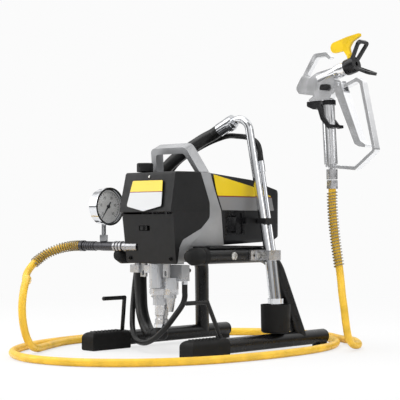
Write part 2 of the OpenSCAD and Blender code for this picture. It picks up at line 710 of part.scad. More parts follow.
elbow_end = [-27, -110, 31];
module inlet_elbow() {
    ball = [0, pump_y, 34];
    color("#2a2a2a") {
        rod([0, pump_y, 52], ball, 11);
        translate(ball) sphere(11.5);
        rod(ball, elbow_end, 11);
    }
}

// Suction set -----------------------------------------------------------------------------------
suction_y = 38;
return_y = 50;
suction_line = [[124.5, 76], [111.5, 172], [59.6, 431.7], [22, 415]];
return_line = [[127, 86], [114.5, 172], [83.7, 343]];
foot_at = [124.5, 42];
tube_end = [22, suction_y, 415];
hose_start = [-4, suction_y - 4, 403];

// Straight stretch i of a line in the plane at y, as a solid to cut room for the tube
module tube_room(line, y, i, r) {
    d = unit(line[i + 1] - line[i]) * 8;
    rod([line[i].x - d.x, y, line[i].y - d.y], [line[i + 1].x + d.x, y, line[i + 1].y + d.y], r + 0.02);
}
module suction_room(i) { tube_room(suction_line, suction_y, i, suction_d / 2); }
module return_room(i) { tube_room(return_line, return_y, i, return_d / 2); }
module suction_tube() {
    color("#d9dbdc") translate([0, suction_y, 0]) bent(suction_line, [200, 26], suction_d / 2, suction_d / 2 - 1.2);
}
module return_tube() {
    color("#d9dbdc") translate([0, return_y, 0]) bent(return_line, [200], return_d / 2, return_d / 2 - 1);
}
module tube_fittings() {
    color("#bcbec0") {
        // collar between the suction tube and its hose
        difference() {
            union() {
                rod(hose_start + [32, 4, 16], hose_start, 12.6);
                rod(tube_end + [1, 0, 0.4], tube_end + [-6, -1, -2.8], 14);
            }
            suction_room(2);
        }
        // ferrule at the top of the return tube
        difference() {
            rod([return_line[2].x + 3.6, return_y, 323], [return_line[2].x, return_y, 343], 5.4);
            return_room(1);
        }
        // foot of both tubes
        difference() {
            union() {
                translate([foot_at.x, foot_at.y, 52]) cylinder(h = 40, r = 11);
                translate([foot_at.x, foot_at.y, 85.4]) cylinder(h = 9, r = 14);
            }
            suction_room(0);
            return_room(0);
            translate([foot_at.x, foot_at.y, 50]) cylinder(h = 22, r = 6.5);
        }
        // return fitting under the pump's block
        translate([return_at.x, return_at.y, 122]) cylinder(h = 6, r = 5.6, $fn = 6);
        translate([return_at.x, return_at.y, 127]) cylinder(h = 1, r = 4.5);
        // ring at the top of the inlet elbow
        difference() {
            translate([0, pump_y, 46]) cylinder(h = 6, r = 13.5);
            translate([0, pump_y, 40]) cylinder(h = 14, r = 11.01);
        }
    }
}
module tube_clamp() {
    color("#c3c5c6") difference() {
        union() {
            translate([101.7, -5, 163]) cube([5, 40, 18]);
            translate([101.7, 25, 163]) cube([22.5, 32, 18]);
        }
        for (i = [0, 1]) {
            suction_room(i);
            return_room(i);
        }
        rod([100, 4, upper_z], [108, 4, upper_z], 2.6);
        rod([100, bolt_ys[1], upper_z], [108, bolt_ys[1], upper_z], 7.3);
    }
}
module tube_clip() {
    color("#202020") difference() {
        union() {
            translate([half_w + 1.3, 27, 229]) cube([50, 32, 10]);
            translate([half_w + 1.3, 50, 229]) cube([4, 12, 10]);
        }
        suction_room(1);
        return_room(1);
        translate([half_w + 6, 20, 228]) cube([26, 36, 12]);
        rod([half_w - 1, 57, 234], [half_w + 8, 57, 234], 2.1);
    }
}
module drip_cup() {
    color("#1d1d1d") translate([foot_at.x, foot_at.y, 0]) rotate_extrude() polygon([[0, 33], [cup_d / 2 - 4, 33],
        [cup_d / 2 - 1, 36], [cup_d / 2, 84], [cup_d / 2 - 2, 84], [cup_d / 2 - 3, 38], [15, 36], [14, 62],
        [11 + fit, 62], [11 + fit, 51.7], [5, 51.7], [5, 36], [0, 36]]);
}

// Routes of the suction hose and of the return hose beside it
suction_route = [hose_start, [-12, 33, 399], [-20, 32, 395], [-34, 22, 386], [-46, 0, 370], [-62, -16, 354],
    [-78, -30, 334],
    [-92, -40, 308], [-103, -47, 276], [-111, -53, 240], [-115, -57, 205], [-116, -60, 170], [-114, -64, 132],
    [-108, -69, 98], [-97, -77, 68], [-78, -86, 43], [-54, -97, 28], [-40.5, -103.5, 29.5], elbow_end];
return_route = [[return_line[2].x, return_y, 343], [81.9, 50, 353], [80.1, 50, 363], [75, 51, 374], [65, 52, 382],
    [47, 52, 388.5], [24, 51, 391.5], [2, 52.5, 393], [-18, 49, 389], [-38, 38, 380], [-58, 18, 364], [-77, -1, 344], [-94, -16, 314],
    [-110, -24, 280], [-124, -32, 242], [-133, -38, 205], [-137, -46, 170], [-135, -56, 132], [-128, -68, 98],
    [-115, -84, 64], [-96, -102, 38], [-70, -120, 21], [-44, -133, 17], [-19, -141, 19], [4, -142, 29],
    [23, -136, 47], [34, -123, 69], [39, -111, 86], [40, -106, 99], [40, -106, 110], [40, -106, 122]];
module suction_hose() { color("#1f1f1f") tube(smooth(suction_route, 3), suction_hose_d / 2, 12); }
module return_hose() { color("#1f1f1f") tube(smooth(return_route, 2), return_hose_d / 2, 10, [1, 0, 0]); }

// Outlet, gauge and pressure hose ---------------------------------------------------------------
tee_x = [-131, -97];
stem_x = -126;
stem_z = 197.5;
gauge_at = [-120.3, -146, 260];
gauge_depth = 23.4;
swivel_end = -187;
module outlet_pipe() {
    pipe = [outlet_at.x + 24, -140, arm_at.z + arm_size.z];
    color("#b9bcbe") difference() {
        union() {
            rod(outlet_at + [32, 0, 0], outlet_at - [4, 0, 0], 9);
            rod(outlet_at + [5, 0, 0], outlet_at - [2, 0, 0], 9.3);
            rod([tee_x[1], outlet_at.y, outlet_at.z], outlet_at, 7.4);
            for (x = [8, 16, 24]) rod(outlet_at - [x, 0, 0], outlet_at - [x + 5, 0, 0], 9.6);
            rod(pipe, [pipe.x, pipe.y, outlet_at.z], 5.5);
        }
        rod([tee_x[1] - 1, outlet_at.y, outlet_at.z], [pipe.x, outlet_at.y, outlet_at.z], 3);
        rod(pipe - [0, 0, 1], [pipe.x, pipe.y, outlet_at.z], 3);
    }
}
module hose_couplings() {
    tee = outlet_at;
    color("#4a4a4c") {
        rod([tee_x[0], tee.y, tee.z], [tee_x[1], tee.y, tee.z], 8.5);
        rod([stem_x, tee.y, tee.z], [stem_x, tee.y, stem_z], 7);
        rod([-147, tee.y, tee.z], [tee_x[0], tee.y, tee.z], 8);
        for (i = [0:4]) rod([-152 - i * 6.4, tee.y, tee.z], [-147 - i * 6.4, tee.y, tee.z], 8.8);
        rod([swivel_end + 8, tee.y, tee.z], [-147, tee.y, tee.z], 8);
        rod([swivel_end, tee.y, tee.z], [swivel_end + 9, tee.y, tee.z], 10);
    }
    color("#c9cbcc") translate([riser_top.x, riser_top.y, riser_top.z]) {
        cylinder(h = 5, r = 10);
        cylinder(h = 15.6, r = 9);
        translate([0, 0, 5]) cylinder(h = 10.6, r = 10.5, $fn = 6);
    }
}
module gauge_case() {
    rim = gauge_d / 2;
    face = gauge_depth / 2;
    color("#b4b6b8") {
        translate(gauge_at) rotate([0, 90, 0]) difference() {
            rotate_extrude() polygon([[0, -face], [rim - 4, -face], [rim - 2, 2 - face], [rim - 2, face - 7],
                [rim, face - 6], [rim, face], [rim - 3.4, face], [rim - 3.4, 5], [0, 5]]);
        }
        rod([gauge_at.x + 4, gauge_at.y, gauge_at.z], [gauge_at.x + 8.6, gauge_at.y, gauge_at.z], 1.5);
        translate([stem_x, gauge_at.y, stem_z]) cylinder(h = 11, r = 7.5, $fn = 6);
        translate([stem_x, gauge_at.y, 208]) cylinder(h = 20.5, r = 4);
    }
}
module gauge_needle() {
    needle = [[-1.4, -10], [1.4, -10], [1.2, 8], [0.2, 27], [-0.2, 27], [-1.2, 8]];
    color("#151515") translate([gauge_at.x + 6.2, gauge_at.y, gauge_at.z]) rotate([145, 0, 0])
        rotate([90, 0, 90]) difference() {
            union() {
                linear_extrude(0.8) polygon(needle);
                cylinder(h = 1.8, r = 3.4);
            }
            translate([0, 0, -1]) cylinder(h = 4, r = 1.5 + fit);
        }
}
module gauge_lens() {
    color("#dfe8ea", 0.4)
        rod([gauge_at.x + 9.4, gauge_at.y, gauge_at.z], [gauge_at.x + 10.6, gauge_at.y, gauge_at.z], gauge_d / 2 - 3.4);
}

// Route of the pressure hose from the outlet round the skid and up to the gun
riser_top = [192.5, 120, 291.8];
hose_route = [[swivel_end, -146, 188], [-200, -146, 188], [-217, -150, 186.5], [-236.5, -161, 181.5],
    [-252, -179, 170.5], [-257.5, -201, 155], [-250, -223, 139], [-230.5, -243, 127], [-207.5, -258, 125],
    [-185.5, -275.5, 130.5], [-165.5, -295.5, 127], [-149, -314, 111.5], [-139.5, -325, 86], [-137.5, -324.5, 58.5],
    [-142, -314, 34], [-151, -296, 16], [-164, -272, 8.2], [-180, -245, 7.4], [-208, -198, 7.1], [-230, -150, 7.1],
    [-241, -100, 7.1], [-245, -40, 7.1], [-240, 40, 7.1], [-214, 130, 7.1], [-160, 210, 7.1], [-88, 266, 7.1],
    [-10, 285, 7.1], [62, 263, 7.1], [126, 217, 7.1], [172, 154, 7.1], [198, 80, 7.1], [207, -10, 7.1],
    [203, -110, 7.1], [181, -215, 7.1], [130, -306, 7.1], [50, -369, 7.1], [-45, -384, 7.1], [-130, -352, 7.1],
    [-192, -291, 7.1], [-236, -208, 7.1], [-262, -95, 7.1], [-262, 30, 7.1], [-236, 130, 7.1], [-184, 214, 7.1],
    [-112, 275, 7.1], [-30, 303, 7.1], [50, 292, 7.1], [94, 267, 7.1], [117, 253, 7.1], [138, 237, 8],
    [158, 219, 10.5], [181, 204, 11], [201, 188, 8.5], [216, 165, 7.9], [223, 140, 12], [229, 119, 27],
    [233, 107, 50], [231, 104, 77], [223, 109, 102], [214, 117, 127], [208, 120, 152], [200.5, 120, 194],
    [195, 120, 235], [192.5, 120, 268], [192.5, 120, 280], riser_top];
hose_run = smooth(hose_route, 2);

// [distance along path p, place in the list] of each of its points
function stations(p, i = 0, s = 0) = i == len(p) - 1 ? [[s, i]]
    : concat([[s, i]], stations(p, i + 1, s + norm(p[i + 1] - p[i])));
// Points of a spring wound round path p: straight end, n even curls, straight end
function spring_points(p, n, r) = let (per = 8, t = tangents(p), u = sides_of(t, 0, [0, 0, 1]), m = len(p) - 1,
    st = stations(p))
    [p[0] + r * u[0] - spring_lead * t[0],
    for (i = [0:n * per]) let (q = lookup(i / (n * per) * st[m][0], st), k = min(floor(q), m - 1), f = q - k, a = 360 * i / per)
        let (c = p[k] + (p[k + 1] - p[k]) * f, s = unit(u[k] + (u[k + 1] - u[k]) * f))
        let (w = unit(t[k] + (t[k + 1] - t[k]) * f)) c + r * (cos(a) * s + sin(a) * cross(w, s)),
    p[m] + r * u[m] + spring_lead * t[m]];
function spring_gap(p) = min([for (i = [2:len(p) - 11]) norm(p[i + 8] - p[i])]) - spring_wire;
hose_last = len(hose_run) - 1;
spring_lead = 4;
spring_first = [hose_run[0] - [spring_lead, 0, 0], for (i = [1:10]) hose_run[i]];
spring_last = [for (i = [hose_last - 10:hose_last - 1]) hose_run[i], riser_top - [0, 0, spring_lead]];
first_wire = spring_points(spring_first, 20, spring_d / 2);
last_wire = spring_points(spring_last, 25, spring_d / 2);
echo(spring_gaps = [spring_gap(first_wire), spring_gap(last_wire)]);
module spring_guards() {
    color("#6e6a4f") {
        tube(first_wire, spring_wire / 2, 6, [0, 1, 0]);
        tube(last_wire, spring_wire / 2, 6, [0, 1, 0]);
    }
}
module pressure_hose() { color("#f0c04a") tube(hose_run, hose_d / 2, 8); }

// Spray gun -------------------------------------------------------------------------------------
gun_at = [192, 120, 331.3];
barrel_z = 168.1;
grip_foot = [-2, 0, 5];
grip_top = [-9.9, 0, 121];
// Point at share s of the grip's axis
function on_grip(s) = grip_foot + (grip_top - grip_foot) * s;
trigger_pivot = [20, 0, 148];
cheek_y = 7.8;
collar_s = 34;
guard_outer = [[0, 136], [60, 157], [72, 150], [100.5, 25], [57, -7.5], [4, -2.2]];
guard_inner = [[4, 3.8], [55, -0.5], [93.5, 27.5], [66, 145], [60, 149.5], [0, 129]];

// Frame of the barrel: +X runs forward along it, +Z up across it
module on_barrel(s = 0) { translate([0, 0, barrel_z]) rotate([0, -barrel_tilt, 0]) translate([s, 0, 0]) children(); }

module gun_swivel() {
    color("#3a3a3c") translate(gun_at) difference() {
        union() {
            translate([0, 0, -22.4]) cylinder(h = 18, r = 10);
            translate([0, 0, -20]) cylinder(h = 5, r = 10.6, $fn = 6);
        }
        translate([0, 0, -13]) cylinder(h = 12, r = 6 + fit);
    }
}
module gun_grip() {
    color("#d5d7d8") translate(gun_at) difference() {
        union() {
            rod(grip_foot, on_grip(1.01), grip_d / 2);
            translate([grip_foot.x, 0, 0]) cylinder(h = 9, r = 10);
            translate([0, 0, -12]) cylinder(h = 14, r = 6);
        }
        translate([-40, -20, 121]) cube([60, 40, 20]);
        rod([0, 0, -13], [0, 0, 3], 3);
        rod([-1.6, 0, 0], grip_top + [0, 0, 1], 4);
        // flutes down the grip
        for (a = [-60, 0, 60, 180]) rotate([0, -3.9, 0]) rotate([0, 0, a]) translate([grip_d / 2 + 0.6, 0, 16])
            cylinder(h = 84, r = 2.4);
    }
}
gun_body = rounded([[-53, 121], [-36, 131], [-70, 136.4], [-78.5, 146], [-38, 207.5], [-9, 208], [2, 197.5], [-3, 194],
    [-11, 200.6], [-30.5, 200], [-56, 166], [-44, 164], [-30, 172], [6, 178], [11, 156], [9, 140], [0, 121]],
    [2, 1, 4, 8, 10, 8, 2, 1, 8, 7, 3, 8, 6, 2, 3, 5, 1]);
module gun_head() {
    color("#d5d7d8") translate(gun_at) difference() {
        union() {
            front_extrude(gun_body, -7.4, 7.4);
            on_barrel() rod([-28, 0, 0], [12, 0, 0], 10);
            on_barrel() rod([10, 0, 0], [collar_s + 18, 0, 0], 8.5);
            on_barrel() rotate([0, 90, 0]) rotate_extrude() polygon([[0, 9], [11, 9], [13, 12], [13, 25], [12, 30],
                [12, collar_s - gap], [0, collar_s - gap]]);
            rod(trigger_pivot - [0, 12, 0], trigger_pivot + [0, 12, 0], 3);
        }
        // hook is thinner than the body
        for (y = [-9, 5.2]) translate([0, y, 0]) front_extrude([[-90, 168], [-50, 168], [-34, 181], [12, 188],
            [12, 215], [-90, 215]], 0, 3.8);
        on_barrel() rod([-26, 0, 0], [60, 0, 0], 2.5 + fit);
        rod([lock_at.x, -9, lock_at.y], [lock_at.x, -3.8, lock_at.y], 2 + fit);
    }
}
module trigger_guard() {
    color("#d5d7d8") translate(gun_at) difference() {
        front_extrude(rounded(concat(guard_outer, guard_inner), [0.5, 6, 10, 9, 8, 0.5, 0.5, 4, 4, 5, 3, 0.5]),
            -guard_w / 2, guard_w / 2);
        front_extrude(gun_body, -20, 20);
        rod(grip_foot, on_grip(1.1), grip_d / 2 + 0.02);
        translate([grip_foot.x, 0, -10]) cylinder(h = 19, r = 10.02);
        rod(trigger_pivot - [0, 12, 0], trigger_pivot + [0, 12, 0], 3.02);
    }
}
trigger_side = rounded([[15, 131], [31.5, 134], [69, 44], [81, 36.5], [79.5, 32], [66, 34], [57, 39]],
    [2, 3, 6, 1, 1, 8, 5]);
cheek_side = rounded([[14, 154], [26, 154], [33, 134], [28, 122], [17, 124], [13, 138]], [5, 6, 6, 3, 3, 8]);
module trigger() {
    color("#cfd1d2") translate(gun_at) difference() {
        union() {
            front_extrude(trigger_side, -cheek_y - 2.2, cheek_y + 2.2);
            for (side = [-1, 1]) front_extrude(cheek_side, side * (cheek_y + 1.1) - 1.1, side * (cheek_y + 1.1) + 1.1);
        }
        rod(trigger_pivot - [0, 15, 0], trigger_pivot + [0, 15, 0], 3 + fit);
        // channel in the rear of the lever
        front_extrude([[10, 125], [23, 127.5], [62, 38], [50, 38]], -cheek_y + 1, cheek_y - 1);
    }
}
// Pivot of the trigger lock as (x, z)
lock_at = [-10, 144];
module trigger_lock() {
    color("#202020") translate(gun_at) {
        front_extrude(rounded([[-21, 140], [-2, 137], [2, 142], [0, 149], [-18, 150]], [3, 4, 2, 3, 4]), -11, -7.7);
        rod([lock_at.x, -8, lock_at.y], [lock_at.x, -4, lock_at.y], 2);
    }
}
module gun_needle() {
    color("#b5b7b8") translate(gun_at) on_barrel() {
        rod([-20, 0, 0], [44, 0, 0], 2.5);
    }
}
module grip_clip() {
    color("#1c1c1c") translate(gun_at) difference() {
        union() {
            rod(on_grip(0.92), on_grip(0.992), grip_d / 2 + 2.6);
            front_extrude(rounded([[-53, 120.8], [-53, 112], [-36, 105], [-24, 112], [-18, 120.8]], [1, 4, 8, 8, 1]), -6, 6);
            for (side = [-1, 1]) front_extrude(rounded([[-24, 114], [-13, 114], [-8, 92], [6, 76], [14, 75.5], [14.5, 70],
                [2, 69], [-14, 86]], [3, 3, 8, 6, 1, 1, 6, 8]), side * 14 - 1.6, side * 14 + 1.6);
            translate([7.5, -15, 70]) cube([6, 30, 5]);
        }
        rod(grip_foot, on_grip(1.1), grip_d / 2 + 0.02);
    }
}
wing_near = 8;
wing_far = 16.5;
wing_l = 50;
module wing(lift) {
    outer = rounded([[6, -wing_near - 2], [wing_l, -wing_far], [wing_l, wing_far], [6, wing_near + 2]], [2, 7, 7, 2]);
    inner = rounded([[15, -wing_near + 3], [wing_l - 5.5, -wing_far + 6], [wing_l - 5.5, wing_far - 6],
        [15, wing_near - 3]], [2, 4, 4, 2]);
    on_barrel(collar_s + 11) rotate([0, -lift, 0]) translate([0, 0, -2.6]) difference() {
        linear_extrude(5.2) polygon(outer);
        translate([0, 0, -1]) linear_extrude(8) polygon(inner);
    }
}
module tip_guard() {
    color("#1e1e1e") translate(gun_at) difference() {
        union() {
            on_barrel(collar_s) rotate([0, 90, 0]) rotate_extrude() polygon([[0, 0], [14, 0], [14.5, 3], [14.5, 17],
                [13, 22], [0, 22]]);
            wing(44);
            wing(-35);
        }
        on_barrel() rod([collar_s - 1, 0, 0], [collar_s + 18 + gap, 0, 0], 8.5 + fit);
        on_barrel() rod([collar_s, 0, 0], [collar_s + 50, 0, 0], 4);
        on_barrel(collar_s + 11) cylinder(h = 30, r = 5 + fit);
    }
}
flag_side = rounded([[-4, 19], [4, 19], [4, 33], [13, 41], [31, 45], [32, 50.5], [4, 53], [-35, 53], [-35, 34.5],
    [-9, 31]], [1, 1, 4, 6, 2, 2, 5, 9, 9, 3]);
module spray_tip() {
    color("#f2c11e") translate(gun_at) on_barrel(collar_s + 11) difference() {
        union() {
            translate([0, 0, 9]) cylinder(h = 12, r = 5);
            front_extrude(flag_side, -3, 3);
        }
        translate([0, 0, 8.5]) rotate([0, 90, 0]) translate([0, 0, -7]) cylinder(h = 14, r = 1);
    }
}

boots();
rail_left();
rail_right();
side_tube_left();
side_tube_right();
end_caps();
hooks();
mount_plate();
screws();
gear_housing();
carry_handle();
front_cover();
label_plates();
pressure_knob();
panel_latch();
motor_shroud();
switch_bezel();
rocker();
motor_can();
armature();
countershaft();
crankshaft();
bearings();
control_board();
manifold();
pump_rings();
inlet_valve();
foot_ball();
piston();
packings();
valve_pusher();
relief_lever();
inlet_elbow();
suction_hose();
return_hose();
suction_tube();
return_tube();
tube_fittings();
tube_clamp();
tube_clip();
drip_cup();
outlet_pipe();
hose_couplings();
gauge_case();
gauge_needle();
gauge_lens();
spring_guards();
pressure_hose();
gun_swivel();
gun_grip();
gun_head();
trigger_guard();
trigger();
trigger_lock();
gun_needle();
grip_clip();
tip_guard();
spray_tip();
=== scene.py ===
"""Finishes, cords, fine surfaces and studio of an airless paint sprayer, laid out as an add-on."""

import json
import math

import bmesh
import bpy
import numpy as np
from bpy.props import FloatProperty, FloatVectorProperty, IntProperty, PointerProperty
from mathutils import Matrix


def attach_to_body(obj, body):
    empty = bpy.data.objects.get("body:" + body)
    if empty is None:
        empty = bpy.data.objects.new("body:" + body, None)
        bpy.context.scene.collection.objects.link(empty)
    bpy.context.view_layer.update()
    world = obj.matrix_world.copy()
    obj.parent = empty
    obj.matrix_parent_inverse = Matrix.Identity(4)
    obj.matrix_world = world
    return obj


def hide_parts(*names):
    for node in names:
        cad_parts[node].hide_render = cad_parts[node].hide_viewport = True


bl_info = {
    "name": "Paint sprayer dressing",
    "version": (1, 0, 0),
    "blender": (4, 5, 0),
    "location": "View3D > Sidebar > Sprayer",
    "description": "Dresses the packed paint sprayer: finishes, hoses, labels, gauge dial and studio",
    "category": "Object",
}

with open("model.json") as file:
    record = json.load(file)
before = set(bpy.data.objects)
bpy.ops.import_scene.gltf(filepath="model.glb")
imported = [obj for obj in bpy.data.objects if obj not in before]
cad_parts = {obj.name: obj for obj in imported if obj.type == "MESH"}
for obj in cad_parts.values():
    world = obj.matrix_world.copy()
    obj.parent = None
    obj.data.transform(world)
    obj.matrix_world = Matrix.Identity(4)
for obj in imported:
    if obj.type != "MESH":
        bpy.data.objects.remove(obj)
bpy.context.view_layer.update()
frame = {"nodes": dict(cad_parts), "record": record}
NODES = frame["nodes"]
BODY_OF = {node: body for body, group in frame["record"]["behaviour"]["bodies"].items() for node in group}
SLOT_OF = {part["node"]: part["material_slot"] for part in frame["record"]["subparts"]}
MM = 0.001
# Angle above which an edge counts as sharp on a carried-over node, and on a new piece
SHARP = math.radians(32)
FOLD = math.radians(40)
# Points of a carried-over mesh nearer than this many metres are one point
SAME_PLACE = 2e-6
# Strength of the plain white that the camera sees past the part
WHITE = 0.965

# Routes in millimetres, the same points as in the part's source ------------------------------------
HOSE_ROUTE = [
    (-187, -146, 188), (-200, -146, 188), (-217, -150, 186.5), (-236.5, -161, 181.5),
    (-252, -179, 170.5), (-257.5, -201, 155), (-250, -223, 139), (-230.5, -243, 127),
    (-207.5, -258, 125), (-185.5, -275.5, 130.5), (-165.5, -295.5, 127), (-149, -314, 111.5),
    (-139.5, -325, 86), (-137.5, -324.5, 58.5), (-142, -314, 34), (-151, -296, 16), (-164, -272, 8.2),
    (-180, -245, 7.4), (-208, -198, 7.1), (-230, -150, 7.1), (-241, -100, 7.1), (-245, -40, 7.1),
    (-240, 40, 7.1), (-214, 130, 7.1), (-160, 210, 7.1), (-88, 266, 7.1), (-10, 285, 7.1),
    (62, 263, 7.1), (126, 217, 7.1), (172, 154, 7.1), (198, 80, 7.1), (207, -10, 7.1),
    (203, -110, 7.1), (181, -215, 7.1), (130, -306, 7.1), (50, -369, 7.1), (-45, -384, 7.1),
    (-130, -352, 7.1), (-192, -291, 7.1), (-236, -208, 7.1), (-262, -95, 7.1), (-262, 30, 7.1),
    (-236, 130, 7.1), (-184, 214, 7.1), (-112, 275, 7.1), (-30, 303, 7.1), (50, 292, 7.1),
    (94, 267, 7.1), (117, 253, 7.1), (138, 237, 8), (158, 219, 10.5), (181, 204, 11), (201, 188, 8.5),
    (216, 165, 7.9), (223, 140, 12), (229, 119, 27), (233, 107, 50), (231, 104, 77), (223, 109, 102),
    (214, 117, 127), (208, 120, 152), (200.5, 120, 194), (195, 120, 235), (192.5, 120, 268),
    (192.5, 120, 280), (192.5, 120, 291.8),
]
SUCTION_ROUTE = [
    (-4, 34, 403), (-12, 33, 399), (-20, 32, 395), (-34, 22, 386), (-46, 0, 370), (-62, -16, 354),
    (-78, -30, 334), (-92, -40, 308), (-103, -47, 276), (-111, -53, 240), (-115, -57, 205),
    (-116, -60, 170), (-114, -64, 132), (-108, -69, 98), (-97, -77, 68), (-78, -86, 43),
    (-54, -97, 28), (-40.5, -103.5, 29.5), (-27, -110, 31),
]
RETURN_ROUTE = [
    (83.7, 50, 343), (81.9, 50, 353), (80.1, 50, 363), (75, 51, 374), (65, 52, 382), (47, 52, 388.5),
    (24, 51, 391.5), (2, 52.5, 393), (-18, 49, 389), (-38, 38, 380), (-58, 18, 364), (-77, -1, 344),
    (-94, -16, 314), (-110, -24, 280), (-124, -32, 242), (-133, -38, 205), (-137, -46, 170),
    (-135, -56, 132), (-128, -68, 98), (-115, -84, 64), (-96, -102, 38), (-70, -120, 21),
    (-44, -133, 17), (-19, -141, 19), (4, -142, 29), (23, -136, 47), (34, -123, 69), (39, -111, 86),
    (40, -106, 99), (40, -106, 110), (40, -106, 122),
]
# Points of the route under each spring guard, and how far in mm its wire runs on past the curls
GUARD_POINTS = 11
SPRING_LEAD = 4


# What a user may change ----------------------------------------------------------------------------
def length_property(name, description, default_mm):
    """A length in metres shown in the user's unit, given here in millimetres."""
    return FloatProperty(name=name, description=description, default=default_mm * MM, unit="LENGTH")


def colour_property(name, description, default):
    """A linear colour without alpha."""
    return FloatVectorProperty(name=name, description=description, default=default, subtype="COLOR",
                               size=3, min=0, max=1)


class SprayerSizes(bpy.types.PropertyGroup):
    """Sizes of the pieces that are worked out here."""

    hose_d: length_property("Hose", "Outer diameter of the pressure hose", 13.6)
    suction_d: length_property("Suction hose", "Outer diameter of the suction hose", 23)
    return_d: length_property("Return hose", "Outer diameter of the return hose", 10)
    wire_d: length_property("Spring wire", "Wire of the spring guards", 2)
    spring_d: length_property("Spring", "Mean diameter of the spring guards' curls", 17.6)
    first_curls: IntProperty(name="Machine guard curls", description="Curls at the outlet", default=20)
    last_curls: IntProperty(name="Gun guard curls", description="Curls below the gun", default=25)
    dial_r: length_property("Dial radius", "Radius of the gauge's printed face", 30)


class SprayerColours(bpy.types.PropertyGroup):
    """Colours of the finishes, linear."""

    hose: colour_property("Hose", "Smooth hose jacket", (0.90, 0.55, 0.05))
    cover: colour_property("Cover", "Grained black cover", (0.007, 0.007, 0.0075))
    shroud: colour_property("Shroud", "Satin motor shroud", (0.011, 0.0115, 0.013))
    cast: colour_property("Casting", "Silver painted casting", (0.40, 0.405, 0.415))
    label: colour_property("Label", "Yellow label film", (0.87, 0.62, 0.006))
    label_line: colour_property("Label line", "Thin line across the labels", (0.20, 0.02, 0.012))
    label_foot: colour_property("Label foot", "Silver band of the front label", (0.62, 0.63, 0.64))
    label_side: colour_property("Label side", "Grey band of the side labels", (0.23, 0.23, 0.235))
    tip: colour_property("Tip", "Yellow spray tip", (0.88, 0.58, 0.012))
    frame_paint: colour_property("Frame", "Painted steel tube", (0.006, 0.006, 0.0065))
    rubber: colour_property("Rubber", "Boots, caps and hoses", (0.007, 0.007, 0.007))
    spring: colour_property("Spring", "Coated spring wire", (0.26, 0.215, 0.12))


class SprayerStage(bpy.types.PropertyGroup):
    """Camera and light."""

    lens: FloatProperty(name="Lens", description="Focal length in mm on a 36 mm sensor", default=113.6)
    shift: FloatProperty(name="Shift", description="Vertical shift of the lens", default=0.0596)
    key: FloatProperty(name="Key", description="Power of the large overhead light in watts", default=46)
    fill: FloatProperty(name="Fill", description="Power of each side light in watts", default=16)
    ambient: FloatProperty(name="Ambient", description="Strength of the even light", default=0.55)


# Surfaces ------------------------------------------------------------------------------------------
def unit(v):
    """Vectors along the last axis scaled to length one."""
    return v / np.linalg.norm(v, axis=-1, keepdims=True)


def smooth_path(points, steps):
    """Catmull-Rom curve: each stretch is the cubic that leaves a point along its neighbours' chord."""
    p = np.asarray(points, float)
    a, b, c, d = np.vstack([p[:1], p[:-2]]), p[:-1], p[1:], np.vstack([p[2:], p[-1:]])
    t = (np.arange(steps) / steps)[None, :, None]
    a, b, c, d = (q[:, None] for q in (a, b, c, d))
    cubic = (3 * b - a - 3 * c + d) * t**3
    inner = (2 * b + (c - a) * t + (2 * a - 5 * b + 4 * c - d) * t**2 + cubic) / 2
    return np.vstack([inner.reshape(-1, 3), p[-1:]])


def path_frames(path, reference):
    """Tangents of a path, and two side directions square to it, the first square to the reference."""
    t = unit(np.gradient(path, axis=0))
    u = unit(np.cross(t, np.asarray(reference, float)))
    return t, u, np.cross(t, u)


def sweep(path, radius, sides, reference=(0.45, 0.5, 0.74)):
    """Circle of the given radius, one value or one for each point, carried square along a path."""
    t, u, v = path_frames(path, reference)
    a = np.linspace(0, 2 * np.pi, sides, endpoint=False)
    r = np.broadcast_to(np.asarray(radius, float), len(path))[:, None, None]
    ring = np.cos(a)[None, :, None] * u[:, None] + np.sin(a)[None, :, None] * v[:, None]
    return path[:, None] + r * ring


def lathe(profile, centre, axis, sides=64):
    """Profile of (radius, height) pairs turned once round an axis through the centre."""
    axis = unit(np.asarray(axis, float))
    side = unit(np.cross(axis, (0.3, 0.5, 0.81)))
    other = np.cross(axis, side)
    p = np.asarray(profile, float)
    a = np.linspace(0, 2 * np.pi, sides, endpoint=False)
    ring = np.cos(a)[:, None] * side + np.sin(a)[:, None] * other
    return np.asarray(centre, float) + p[:, 0, None, None] * ring[None] + p[:, 1, None, None] * axis


def grid_faces(rows, columns, wrap=True):
    """Quads between neighbouring rings of a grid, closed round each ring if wrap is set."""
    last = columns if wrap else columns - 1
    i, k = np.meshgrid(np.arange(rows - 1), np.arange(last), indexing="ij")
    n = (k + 1) % columns
    return np.stack([i * columns + k, i * columns + n, (i + 1) * columns + n, (i + 1) * columns + k],
                    -1).reshape(-1, 4)


def link(name, points, faces, flat=False):
    """Puts points in millimetres and faces into a new object at the origin, with faces outwards."""
    mesh = bpy.data.meshes.new(name)
    mesh.from_pydata((np.asarray(points, float).reshape(-1, 3) * MM).tolist(), [], [list(f) for f in faces])
    shape = bmesh.new()
    shape.from_mesh(mesh)
    bmesh.ops.recalc_face_normals(shape, faces=shape.faces)
    shape.to_mesh(mesh)
    shape.free()
    mesh.polygons.foreach_set("use_smooth", [not flat] * len(mesh.polygons))
    piece = bpy.data.objects.new(name, mesh)
    bpy.context.scene.collection.objects.link(piece)
    return piece


def tube_piece(name, grid):
    """Closed tube from a grid of rings, with one face over each end."""
    rows, columns = grid.shape[:2]
    faces = grid_faces(rows, columns).tolist()
    faces += [list(range(columns)), list(range((rows - 1) * columns, rows * columns))]
    piece = link(name, grid, faces)
    piece.data.set_sharp_from_angle(angle=FOLD)
    return piece


